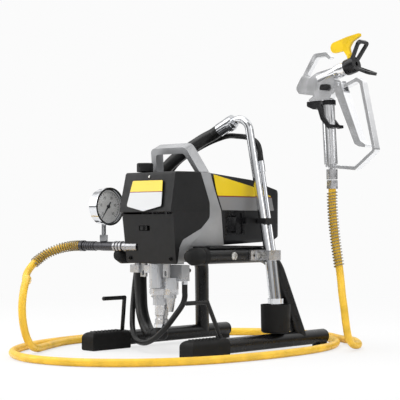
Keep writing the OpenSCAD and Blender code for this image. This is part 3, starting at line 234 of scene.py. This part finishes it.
def helix(path, curls, radius, per_curl, lead):
    """Spring wound round a path: a circle of the radius turned once a curl as it moves along the path."""
    s = np.linspace(0, 1, curls * per_curl + 1)
    chord = np.concatenate([[0], np.cumsum(np.linalg.norm(np.diff(path, axis=0), axis=1))])
    at = np.stack([np.interp(s * chord[-1], chord, path[:, i]) for i in range(3)], -1)
    t, u, v = path_frames(at, (0.2, 1, 0.15))
    a = 2 * np.pi * curls * s[:, None]
    wire = at + radius * (np.cos(a) * u + np.sin(a) * v)
    return np.vstack([wire[:1] - lead * t[:1], wire, wire[-1:] + lead * t[-1:]])


# Finishes ------------------------------------------------------------------------------------------
class Finish:
    """A procedural material: shades, roughness and grain all read Object coordinates."""

    def __init__(self, name, rough, metal=0.0, coat=0.0, specular=0.5):
        self.material = bpy.data.materials.new(name)
        self.material.use_nodes = True
        self.tree = self.material.node_tree
        self.shader = self.tree.nodes["Principled BSDF"]
        self.shader.inputs["Metallic"].default_value = metal
        self.shader.inputs["Roughness"].default_value = rough
        self.shader.inputs["Coat Weight"].default_value = coat
        self.shader.inputs["Specular IOR Level"].default_value = specular
        self.place = self.node("ShaderNodeTexCoord").outputs["Object"]
        self.relief = None

    def node(self, kind, **values):
        """New node with its named inputs set to a value or joined to a socket."""
        made = self.tree.nodes.new(kind)
        for key, value in values.items():
            if key in made.inputs:
                self.put(made.inputs[key], value)
            else:
                setattr(made, key, value)
        return made

    def put(self, socket, value):
        """Sets a socket, or joins it to another socket."""
        if isinstance(value, bpy.types.NodeSocket):
            self.tree.links.new(value, socket)
        else:
            socket.default_value = value

    def noise(self, scale, detail=3.0):
        """Soft noise, its scale in features per metre."""
        made = self.node("ShaderNodeTexNoise", Vector=self.place, Scale=scale, Detail=detail)
        return made.outputs["Fac"]

    def ramp(self, value, low, high, out_low=0.0, out_high=1.0):
        """Value from low to high mapped to another span."""
        made = self.node("ShaderNodeMapRange")
        self.put(made.inputs["Value"], value)
        for key, number in zip(("From Min", "From Max", "To Min", "To Max"), (low, high, out_low, out_high)):
            made.inputs[key].default_value = number
        return made.outputs["Result"]

    def maths(self, kind, a, b):
        """One arithmetic step."""
        made = self.node("ShaderNodeMath", operation=kind)
        self.put(made.inputs[0], a)
        self.put(made.inputs[1], b)
        return made.outputs["Value"]

    def mix(self, share, a, b):
        """Colour a where the share is 0 and b where it is 1."""
        made = self.node("ShaderNodeMix", data_type="RGBA")
        self.put(made.inputs[0], share)
        for socket, colour in ((made.inputs[6], a), (made.inputs[7], b)):
            self.put(socket, colour if isinstance(colour, bpy.types.NodeSocket) else (*colour, 1.0))
        return made.outputs[2]

    def shades(self, colour, depth, scale):
        """Base colour that drifts between a darker and a lighter shade."""
        colour = np.array(colour[:])
        share = self.ramp(self.noise(scale), 0.35, 0.65)
        shade = self.mix(share, np.clip(colour * (1 - depth), 0, 1), np.clip(colour * (1 + depth), 0, 1))
        self.put(self.shader.inputs["Base Color"], shade)
        return shade

    def gloss(self, low, high, scale):
        """Roughness that drifts between two values, as handling leaves it."""
        drift = self.ramp(self.noise(scale), 0.35, 0.65, low, high)
        self.put(self.shader.inputs["Roughness"], drift)

    def grain(self, height, depth_mm, strength=1.0):
        """Adds a relief of the given depth to the surface."""
        made = self.node("ShaderNodeBump", Strength=strength, Distance=depth_mm * MM, Height=height)
        if self.relief is not None:
            self.put(made.inputs["Normal"], self.relief)
        self.relief = made.outputs["Normal"]
        self.put(self.shader.inputs["Normal"], self.relief)


def moulded(name, colour, rough=0.42, grain_mm=0.03, scale=1400, specular=0.3):
    """Moulded plastic with a fine spark-eroded grain."""
    made = Finish(name, rough, specular=specular)
    made.shades(colour, 0.12, 35)
    made.gloss(rough - 0.06, rough + 0.06, 90)
    made.grain(made.noise(scale, 2.0), grain_mm, 0.6)
    return made


def painted(name, colour, rough=0.3, coat=0.1):
    """Sprayed paint on steel with a faint orange peel."""
    made = Finish(name, rough, coat=coat, specular=0.3)
    made.shades(colour, 0.1, 40)
    made.gloss(rough - 0.05, rough + 0.07, 70)
    made.grain(made.noise(260, 1.0), 0.03, 0.35)
    return made


def casting(name, colour, rough=0.36):
    """Silver paint on a casting: metal flake and a slightly uneven skin."""
    made = Finish(name, rough, metal=0.55, coat=0.15)
    made.shades(colour, 0.08, 28)
    made.gloss(rough - 0.05, rough + 0.06, 60)
    made.grain(made.noise(420, 2.0), 0.02, 0.25)
    return made


def turned_metal(name, colour, rough=0.28, metal=1.0):
    """Machined metal with a very fine grain."""
    made = Finish(name, rough, metal=metal)
    made.shades(colour, 0.09, 50)
    made.gloss(rough - 0.08, rough + 0.1, 120)
    made.grain(made.noise(900, 0.0), 0.002, 0.05)
    return made


def plated(name, colour, rough=0.09, metal=1.0):
    """Bright chrome plate with a little haze and hairline marks."""
    made = Finish(name, rough, metal=metal)
    made.shades(colour, 0.04, 30)
    made.gloss(rough - 0.03, rough + 0.06, 45)
    made.grain(made.noise(30, 0.0), 0.002, 0.05)
    return made


def coupling_steel():
    """Blackened swivel at the machine and bright nuts below the gun, told by place."""
    made = turned_metal("coupling_steel", (0.06, 0.06, 0.065), 0.3)
    axes = made.node("ShaderNodeSeparateXYZ", Vector=made.place)
    gun_side = made.maths("GREATER_THAN", axes.outputs["X"], 0.0)
    made.put(made.shader.inputs["Base Color"],
             made.mix(gun_side, (0.06, 0.06, 0.065), (0.55, 0.55, 0.56)))
    return made


def zinc_screws():
    """Bright zinc on the frame's bolts, and black on the two low screws of the cover, told by place."""
    made = turned_metal("zinc_plate", (0.66, 0.65, 0.62), 0.3)
    axes = made.node("ShaderNodeSeparateXYZ", Vector=made.place)
    low = made.maths("LESS_THAN", axes.outputs["Z"], 0.178)
    front = made.maths("LESS_THAN", axes.outputs["Y"], -0.13)
    made.put(made.shader.inputs["Base Color"],
             made.mix(made.maths("MULTIPLY", low, front), (0.64, 0.63, 0.60), (0.01, 0.01, 0.01)))
    return made


def finishes():
    """One material for each kind of surface."""
    c = bpy.context.scene.sprayer_colours
    made = {
        "cover": moulded("grained_black", c.cover, 0.44, 0.03, 1300),
        "shroud": moulded("satin_graphite", c.shroud, 0.36, 0.02, 1500),
        "soft_black": moulded("matt_black", (0.010, 0.010, 0.011), 0.5, 0.03, 1100),
        "gloss_black": moulded("gloss_black", (0.008, 0.008, 0.009), 0.26, 0.008, 900),
        "rubber": moulded("rubber", c.rubber, 0.55, 0.05, 700, 0.2),
        "hose_rubber": moulded("hose_rubber", (0.010, 0.010, 0.010), 0.34, 0.02, 300),
        "frame": painted("black_paint", c.frame_paint, 0.3, 0.08),
        "cast": casting("silver_casting", c.cast),
        "pump_cast": casting("pump_casting", (0.50, 0.51, 0.53), 0.3),
        "steel": turned_metal("machined_steel", (0.62, 0.62, 0.63)),
        "zinc": zinc_screws(),
        "coupling": coupling_steel(),
        "fitting": turned_metal("fitting_steel", (0.36, 0.36, 0.37), 0.28),
        "dark_steel": turned_metal("blackened_steel", (0.06, 0.06, 0.065), 0.32, metal=0.8),
        "chrome": plated("chrome", (0.66, 0.67, 0.69)),
        "gun_alloy": plated("polished_alloy", (0.84, 0.845, 0.86), 0.12, 0.88),
        "spring": turned_metal("coated_wire", c.spring, 0.4, metal=0.5),
        "hose": moulded("hose_jacket", c.hose, 0.33, 0.02, 240),
        "tip": moulded("tip_plastic", c.tip, 0.3, 0.01, 900),
        "copper": turned_metal("windings", (0.45, 0.20, 0.09), 0.35),
        "board": moulded("circuit_board", (0.02, 0.12, 0.05), 0.35),
        "packing": moulded("packing", (0.32, 0.24, 0.13), 0.7),
        "dial": moulded("dial_card", (0.93, 0.93, 0.92), 0.45, 0.005, 600),
        "ink": moulded("ink", (0.012, 0.012, 0.012), 0.5, 0.004, 600),
    }
    made["label"] = label_film(c)
    made["lens"] = lens_glass()
    return {key: finish.material for key, finish in made.items()}


# Height of the line on the side plates, and along the shield from its lowest point
SIDE_LINE = (277, 279)
SHIELD_LINE = (283.6, 285.2)


def label_film(colours):
    """Film in three bands: yellow above, a thin line, silver below, split by height."""
    made = Finish("label_film", 0.3, coat=0.5)
    axes = made.node("ShaderNodeSeparateXYZ", Vector=made.place)
    sideways = made.maths("GREATER_THAN", made.maths("ABSOLUTE", axes.outputs["X"], 0.0), 0.055)
    floor = made.ramp(sideways, 0, 1, SHIELD_LINE[0] * MM, SIDE_LINE[0] * MM)
    roof = made.ramp(sideways, 0, 1, SHIELD_LINE[1] * MM, SIDE_LINE[1] * MM)
    tone = made.ramp(made.noise(30), 0.35, 0.65, 0.0, 0.12)
    yellow = made.mix(tone, colours.label[:], tuple(0.8 * v for v in colours.label))
    above_floor = made.maths("GREATER_THAN", axes.outputs["Z"], floor)
    above_roof = made.maths("GREATER_THAN", axes.outputs["Z"], roof)
    foot = made.mix(sideways, colours.label_foot[:], colours.label_side[:])
    lower = made.mix(above_floor, foot, colours.label_line[:])
    made.put(made.shader.inputs["Base Color"], made.mix(above_roof, lower, yellow))
    made.grain(made.noise(500, 1.0), 0.01, 0.3)
    return made


def lens_glass():
    """Clear gauge lens: a thin gloss over what lies behind it."""
    made = Finish("lens", 0.05, specular=0.9)
    made.shades((0.55, 0.57, 0.58), 0.04, 40)
    made.shader.inputs["Alpha"].default_value = 0.07
    made.grain(made.noise(60, 1.0), 0.004, 0.2)
    return made


DRESS = {
    "cover": ["front_cover", "pressure_knob", "panel_latch", "relief_lever"],
    "shroud": ["motor_shroud"],
    "gloss_black": ["switch_bezel", "rocker", "tip_guard", "trigger_lock", "grip_clip"],
    "soft_black": ["tube_clip", "inlet_elbow"],
    "rubber": ["boots", "end_caps", "drip_cup"],
    "hose_rubber": ["suction_hose", "return_hose"],
    "frame": ["rail_left", "rail_right", "side_tube_left", "side_tube_right", "hooks", "mount_plate"],
    "cast": ["gear_housing", "carry_handle"],
    "pump_cast": ["manifold"],
    "steel": ["pump_rings", "inlet_valve", "foot_ball", "piston", "valve_pusher", "tube_clamp",
              "bearings", "motor_can", "countershaft", "crankshaft", "gun_needle"],
    "zinc": ["screws"],
    "dark_steel": ["gauge_needle"],
    "coupling": ["hose_couplings", "gun_swivel"],
    "fitting": ["outlet_pipe"],
    "chrome": ["suction_tube", "return_tube", "gauge_case", "tube_fittings"],
    "gun_alloy": ["gun_grip", "gun_head", "trigger_guard", "trigger"],
    "spring": ["spring_guards"],
    "hose": ["pressure_hose"],
    "tip": ["spray_tip"],
    "copper": ["armature"],
    "board": ["control_board"],
    "packing": ["packings"],
    "label": ["label_plates"],
    "lens": ["gauge_lens"],
}
FINISH_OF = {node: key for key, group in DRESS.items() for node in group}
MATERIALS = {}


def attach(piece, body, slot, finish, *replaced):
    """Gives a new piece its body and material, and hides the nodes it stands for; the slot is not used."""
    piece.data.materials.clear()
    piece.data.materials.append(MATERIALS[finish])
    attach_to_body(piece, body)
    if replaced:
        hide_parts(*replaced)
    return piece


def stand_in(piece, node):
    """Attaches a piece that takes the place of one node, with that node's body and finish."""
    return attach(piece, BODY_OF[node], SLOT_OF[node], FINISH_OF[node], node)


# Nodes whose edges are eased: width of the round in mm and its steps
EASED = {
    "front_cover": (1.6, 3), "gear_housing": (1.2, 2), "carry_handle": (3.2, 4), "motor_shroud": (1.4, 3),
    "boots": (2.0, 3), "end_caps": (0.8, 2), "tube_clamp": (0.8, 2), "pressure_knob": (0.7, 2),
    "label_plates": (0.25, 1), "manifold": (0.7, 2), "drip_cup": (0.6, 2), "gun_head": (1.4, 3),
    "trigger_guard": (1.5, 3), "trigger": (1.0, 2), "tip_guard": (1.0, 2), "spray_tip": (0.9, 2),
    "grip_clip": (0.7, 2), "tube_clip": (0.8, 2), "relief_lever": (0.6, 2), "mount_plate": (0.6, 2),
    "trigger_lock": (0.6, 2), "rocker": (0.5, 2), "switch_bezel": (0.5, 2),
}


def eased(node, width, steps):
    """Copy of a node's mesh, merged into one skin, with a small round along every sharp edge."""
    mesh = bpy.data.meshes.new(node + "_eased")
    shape = bmesh.new()
    shape.from_mesh(NODES[node].data)
    bmesh.ops.remove_doubles(shape, verts=shape.verts, dist=SAME_PLACE)
    bmesh.ops.dissolve_limit(shape, angle_limit=math.radians(1), verts=shape.verts, edges=shape.edges)
    shape.to_mesh(mesh)
    shape.free()
    mesh.polygons.foreach_set("use_smooth", [True] * len(mesh.polygons))
    mesh.set_sharp_from_angle(angle=SHARP)
    piece = bpy.data.objects.new(node + "_eased", mesh)
    bpy.context.scene.collection.objects.link(piece)
    bevel = piece.modifiers.new("Ease", "BEVEL")
    bevel.width = width * MM
    bevel.segments = steps
    bevel.limit_method = "ANGLE"
    bevel.angle_limit = SHARP
    bevel.harden_normals = True
    return stand_in(piece, node)


# Segments of a drawn figure in a box one wide and two high, and the segments of each figure
SEGMENTS = np.array([(0, 2, 1, 2), (1, 2, 1, 1), (1, 1, 1, 0), (0, 0, 1, 0), (0, 1, 0, 0), (0, 2, 0, 1),
                     (0, 1, 1, 1)])
FIGURES = {"0": (0, 1, 2, 3, 4, 5), "1": (1, 2), "2": (0, 1, 6, 4, 3), "3": (0, 1, 6, 2, 3),
           "4": (5, 6, 1, 2), "5": (0, 5, 6, 2, 3)}
# Middle of the gauge's case
GAUGE_AT = np.array([-120.3, -146, 260])


def strokes(lines, width, low, high):
    """Flat bars along lines on the dial: each line widened to both sides and raised between two heights."""
    lines = np.asarray(lines, float)
    a, b = lines[:, :2], lines[:, 2:]
    along = unit(b - a)
    aside = np.stack([-along[:, 1], along[:, 0]], -1) * width / 2
    a, b = a - along * width / 2, b + along * width / 2
    ring = np.stack([a - aside, b - aside, b + aside, a + aside], 1)
    levels = [np.concatenate([np.full((*ring.shape[:2], 1), h), ring], -1) for h in (low, high)]
    corner = np.arange(4)
    sides = np.stack([corner, (corner + 1) % 4, (corner + 1) % 4 + 4, corner + 4], -1)
    faces = np.vstack([sides, [[3, 2, 1, 0], [4, 5, 6, 7]]])
    start = 8 * np.arange(len(lines))[:, None, None]
    return GAUGE_AT + np.concatenate(levels, 1).reshape(-1, 3), (start + faces).reshape(-1, 4)


def dial_lines():
    """Ticks over three quarters of a turn, an inner arc, and a figure at every fifth tick."""
    turn = np.radians(225 - 270 * np.arange(26) / 25)
    out = np.stack([np.cos(turn), np.sin(turn)], -1)
    inner = np.where(np.arange(26) % 5 == 0, 22.5, 24.5)[:, None]
    ticks = np.hstack([out * inner, out * 27])
    bend = np.radians(np.linspace(225, -45, 91))
    arc = 27 * np.stack([np.cos(bend), np.sin(bend)], -1)
    figures = []
    for place, text in zip(out[::5] * 17.5, ("0", "10", "20", "30", "40", "50")):
        for i, figure in enumerate(text):
            middle = place + np.array([(i - (len(text) - 1) / 2) * 3.2, 0])
            figures.append((SEGMENTS[list(FIGURES[figure])] - (0.5, 1, 0.5, 1)) * 2 + np.tile(middle, 2))
    return ticks, np.hstack([arc[:-1], arc[1:]]), np.vstack(figures)


# Distances in metres over which the floor fades into white
NEAR_AND_FAR = (0.45, 1.7)
# Heights in mm over the gauge's middle: back of the card, its face, and the top of the ink
CARD_BACK, CARD_FACE, INK_TOP = 5.02, 5.4, 5.5
# Where the camera stands: its bearing in degrees, then back, aside and up in metres
CAMERA_AT = {"azimuth": 43, "back": 2.3239, "aside": 0.0162, "up": 0.2286}


# Operators -----------------------------------------------------------------------------------------
class SPRAYER_OT_camera(bpy.types.Operator):
    """Sets the camera level and low, before the front right corner"""

    bl_idname = "sprayer.camera"
    bl_label = "Camera"

    def execute(self, context):
        stage = context.scene.sprayer_stage
        azimuth = math.radians(CAMERA_AT["azimuth"])
        data = bpy.data.cameras.new("camera")
        data.lens = stage.lens
        data.sensor_width = 36
        data.shift_y = stage.shift
        data.clip_start, data.clip_end = 0.05, 100
        camera = bpy.data.objects.new("camera", data)
        forward = np.array([-math.sin(azimuth), math.cos(azimuth), 0])
        right = np.array([math.cos(azimuth), math.sin(azimuth), 0])
        flat = -CAMERA_AT["back"] * forward - CAMERA_AT["aside"] * right
        camera.location = flat + np.array([0, 0, CAMERA_AT["up"]])
        camera.rotation_euler = (math.radians(90), 0, azimuth)
        context.scene.collection.objects.link(camera)
        context.scene.camera = camera
        return {"FINISHED"}


class SPRAYER_OT_stage(bpy.types.Operator):
    """Lays a pale floor and sets soft studio lights"""

    bl_idname = "sprayer.stage"
    bl_label = "Stage"

    def execute(self, context):
        stage = context.scene.sprayer_stage
        angle = np.linspace(0, 2 * np.pi, 96, endpoint=False)
        radii = np.array([0.02, 1.5, 4.0, 14.0]) / MM
        rings = np.stack([radii[:, None] * np.cos(angle), radii[:, None] * np.sin(angle),
                          np.zeros((4, 96))], -1)
        faces = grid_faces(4, 96).tolist() + [list(range(96))]
        floor = link("floor", rings - np.array([0, 0, 0.2]), faces)
        floor.data.materials.append(self.pale_floor())
        self.surround(context.scene, stage.ambient)
        for name, place, size, power in (
            ("key_light", (-0.6, -0.9, 2.6), 2.6, stage.key),
            ("left_light", (-2.4, -1.6, 1.2), 1.6, stage.fill),
            ("right_light", (2.3, 0.7, 1.5), 1.6, stage.fill),
        ):
            data = bpy.data.lights.new(name, "AREA")
            data.size = size
            data.energy = power
            lamp = bpy.data.objects.new(name, data)
            lamp.location = place
            back = np.array(place) - np.array([0, 0, 0.25])
            lamp.rotation_euler = (math.atan2(math.hypot(back[0], back[1]), back[2]), 0,
                                   math.atan2(back[1], back[0]) + math.pi / 2)
            context.scene.collection.objects.link(lamp)
        context.scene.view_settings.view_transform = "Standard"
        return {"FINISHED"}

    def pale_floor(self):
        """Floor that keeps soft shadows near the part and fades into even white far off."""
        made = Finish("pale_floor", 0.7)
        made.shades((0.80, 0.80, 0.80), 0.01, 3)
        away = made.node("ShaderNodeVectorMath", operation="LENGTH")
        made.put(away.inputs[0], made.place)
        away = away.outputs["Value"]
        white = made.ramp(away, *NEAR_AND_FAR, 0.97, WHITE)
        glow = made.node("ShaderNodeEmission", Color=(1, 1, 1, 1), Strength=white)
        seen = made.node("ShaderNodeLightPath").outputs["Is Camera Ray"]
        both = made.node("ShaderNodeMixShader")
        made.put(both.inputs[0], made.maths("MULTIPLY", seen, made.ramp(away, *NEAR_AND_FAR, 0.7, 1.0)))
        made.put(both.inputs[1], made.shader.outputs[0])
        made.put(both.inputs[2], glow.outputs[0])
        made.put(made.tree.nodes["Material Output"].inputs["Surface"], both.outputs[0])
        return made.material

    def surround(self, scene, strength):
        """Soft light from a bright ceiling and uneven walls, and plain white where the camera looks past."""
        world = bpy.data.worlds.new("surround")
        world.use_nodes = True
        tree = world.node_tree
        lit = tree.nodes["Background"]
        lit.inputs["Color"].default_value = (1, 1, 1, 1)
        way = tree.nodes.new("ShaderNodeTexCoord").outputs["Generated"]
        height = tree.nodes.new("ShaderNodeSeparateXYZ")
        tree.links.new(way, height.inputs[0])
        walls = tree.nodes.new("ShaderNodeTexNoise")
        walls.inputs["Scale"].default_value = 2.1
        walls.inputs["Detail"].default_value = 0.0
        tree.links.new(way, walls.inputs["Vector"])
        total = tree.nodes.new("ShaderNodeMath")
        total.operation = "MULTIPLY"
        ceiling = (height.outputs["Z"], (0.05, 0.65, 0.45, 1.5))
        uneven = (walls.outputs["Fac"], (0.38, 0.62, 0.4 * strength, 1.7 * strength))
        for i, (source, spans) in enumerate((ceiling, uneven)):
            span = tree.nodes.new("ShaderNodeMapRange")
            tree.links.new(source, span.inputs["Value"])
            for key, value in zip(("From Min", "From Max", "To Min", "To Max"), spans):
                span.inputs[key].default_value = value
            tree.links.new(span.outputs["Result"], total.inputs[i])
        tree.links.new(total.outputs[0], lit.inputs["Strength"])
        white = tree.nodes.new("ShaderNodeBackground")
        white.inputs["Color"].default_value = (1, 1, 1, 1)
        white.inputs["Strength"].default_value = WHITE
        path = tree.nodes.new("ShaderNodeLightPath")
        both = tree.nodes.new("ShaderNodeMixShader")
        tree.links.new(path.outputs["Is Camera Ray"], both.inputs[0])
        tree.links.new(lit.outputs[0], both.inputs[1])
        tree.links.new(white.outputs[0], both.inputs[2])
        tree.links.new(both.outputs[0], tree.nodes["World Output"].inputs["Surface"])
        scene.world = world


class SPRAYER_OT_cords(bpy.types.Operator):
    """Lays the pressure hose along its route and winds a spring guard round each end"""

    bl_idname = "sprayer.cords"
    bl_label = "Pressure hose"

    def execute(self, context):
        sizes = context.scene.sprayer_sizes
        coarse = smooth_path(HOSE_ROUTE, 2)
        path = smooth_path(HOSE_ROUTE, 12)
        hose = tube_piece("hose", sweep(path, sizes.hose_d / MM / 2, 24))
        stand_in(hose, "pressure_hose")
        first = coarse[:GUARD_POINTS].copy()
        first[0, 0] -= SPRING_LEAD
        last = coarse[-GUARD_POINTS:].copy()
        last[-1, 2] -= SPRING_LEAD
        guards = []
        for name, line, curls in (("guard_machine", first, sizes.first_curls),
                                  ("guard_gun", last, sizes.last_curls)):
            wire = helix(smooth_path(line, 8), curls, sizes.spring_d / MM / 2, 24, SPRING_LEAD)
            guards.append(tube_piece(name, sweep(wire, sizes.wire_d / MM / 2, 10, (0.31, 0.4, 0.86))))
            attach(guards[-1], "machine", "spring_olive", "spring")
        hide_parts("spring_guards")
        return {"FINISHED"}


class SPRAYER_OT_suction_hoses(bpy.types.Operator):
    """Sweeps the suction hose and the return hose along their routes"""

    bl_idname = "sprayer.suction_hoses"
    bl_label = "Suction hoses"

    def execute(self, context):
        sizes = context.scene.sprayer_sizes
        for name, node, route, width in (
            ("suction_line", "suction_hose", SUCTION_ROUTE, sizes.suction_d),
            ("return_line", "return_hose", RETURN_ROUTE, sizes.return_d),
        ):
            stand_in(tube_piece(name, sweep(smooth_path(route, 10), width / MM / 2, 28)), node)
        return {"FINISHED"}


class SPRAYER_OT_finishes(bpy.types.Operator):
    """Makes the finishes and gives every carried-over node its own"""

    bl_idname = "sprayer.finishes"
    bl_label = "Finishes"

    def execute(self, context):
        MATERIALS.update(finishes())
        for node, piece in NODES.items():
            piece.data.materials.clear()
            piece.data.materials.append(MATERIALS[FINISH_OF[node]])
        return {"FINISHED"}


class SPRAYER_OT_eased_edges(bpy.types.Operator):
    """Rounds the edges of castings, covers and grips"""

    bl_idname = "sprayer.eased_edges"
    bl_label = "Eased edges"

    def execute(self, context):
        for node, (width, steps) in EASED.items():
            eased(node, width, steps)
        return {"FINISHED"}


class SPRAYER_OT_dial(bpy.types.Operator):
    """Lays the printed card with its ticks and figures behind the gauge's needle"""

    bl_idname = "sprayer.dial"
    bl_label = "Gauge dial"

    def execute(self, context):
        radius = context.scene.sprayer_sizes.dial_r / MM
        rings = lathe([(radius, CARD_BACK), (radius, CARD_FACE)], GAUGE_AT, (1, 0, 0), 96)
        faces = grid_faces(2, 96).tolist() + [list(range(96)), list(range(96, 192))]
        card = link("dial_card", rings, faces)
        card.data.set_sharp_from_angle(angle=FOLD)
        attach(card, "machine", SLOT_OF["gauge_case"], "dial")
        ticks, arc, figures = dial_lines()
        for name, lines, width in (("dial_ticks", ticks, 0.7), ("dial_arc", arc, 0.5),
                                   ("dial_figures", figures, 0.55)):
            points, faces = strokes(lines, width, CARD_FACE, INK_TOP)
            attach(link(name, points, faces.tolist(), flat=True), "machine", SLOT_OF["gauge_case"], "ink")
        return {"FINISHED"}


STEPS = (SPRAYER_OT_camera, SPRAYER_OT_finishes, SPRAYER_OT_cords, SPRAYER_OT_suction_hoses,
         SPRAYER_OT_eased_edges, SPRAYER_OT_dial, SPRAYER_OT_stage)


class SPRAYER_PT_panel(bpy.types.Panel):
    """Lists the sizes, the colours and one button for each step"""

    bl_idname = "SPRAYER_PT_panel"
    bl_label = "Paint sprayer"
    bl_space_type = "VIEW_3D"
    bl_region_type = "UI"
    bl_category = "Sprayer"

    def draw(self, context):
        for name in GROUPS:
            group = getattr(context.scene, name)
            box = self.layout.box()
            for key in group.bl_rna.properties.keys():
                if key not in ("rna_type", "name"):
                    box.prop(group, key)
        for step in STEPS:
            self.layout.operator(step.bl_idname)


GROUPS = {"sprayer_sizes": SprayerSizes, "sprayer_colours": SprayerColours, "sprayer_stage": SprayerStage}


def register():
    """Registers the classes and hangs the settings on the scene."""
    for cls in (*GROUPS.values(), *STEPS, SPRAYER_PT_panel):
        bpy.utils.register_class(cls)
    for name, cls in GROUPS.items():
        setattr(bpy.types.Scene, name, PointerProperty(type=cls))


def unregister():
    """Takes the settings and the classes away again."""
    for name in GROUPS:
        delattr(bpy.types.Scene, name)
    for cls in (SPRAYER_PT_panel, *reversed(STEPS), *GROUPS.values()):
        bpy.utils.unregister_class(cls)


def main():
    register()
    for step in STEPS:
        group, name = step.bl_idname.split(".")
        if getattr(getattr(bpy.ops, group), name)() != {"FINISHED"}:
            raise RuntimeError(step.bl_label + " did not finish")


if __name__ == "__main__":
    main()
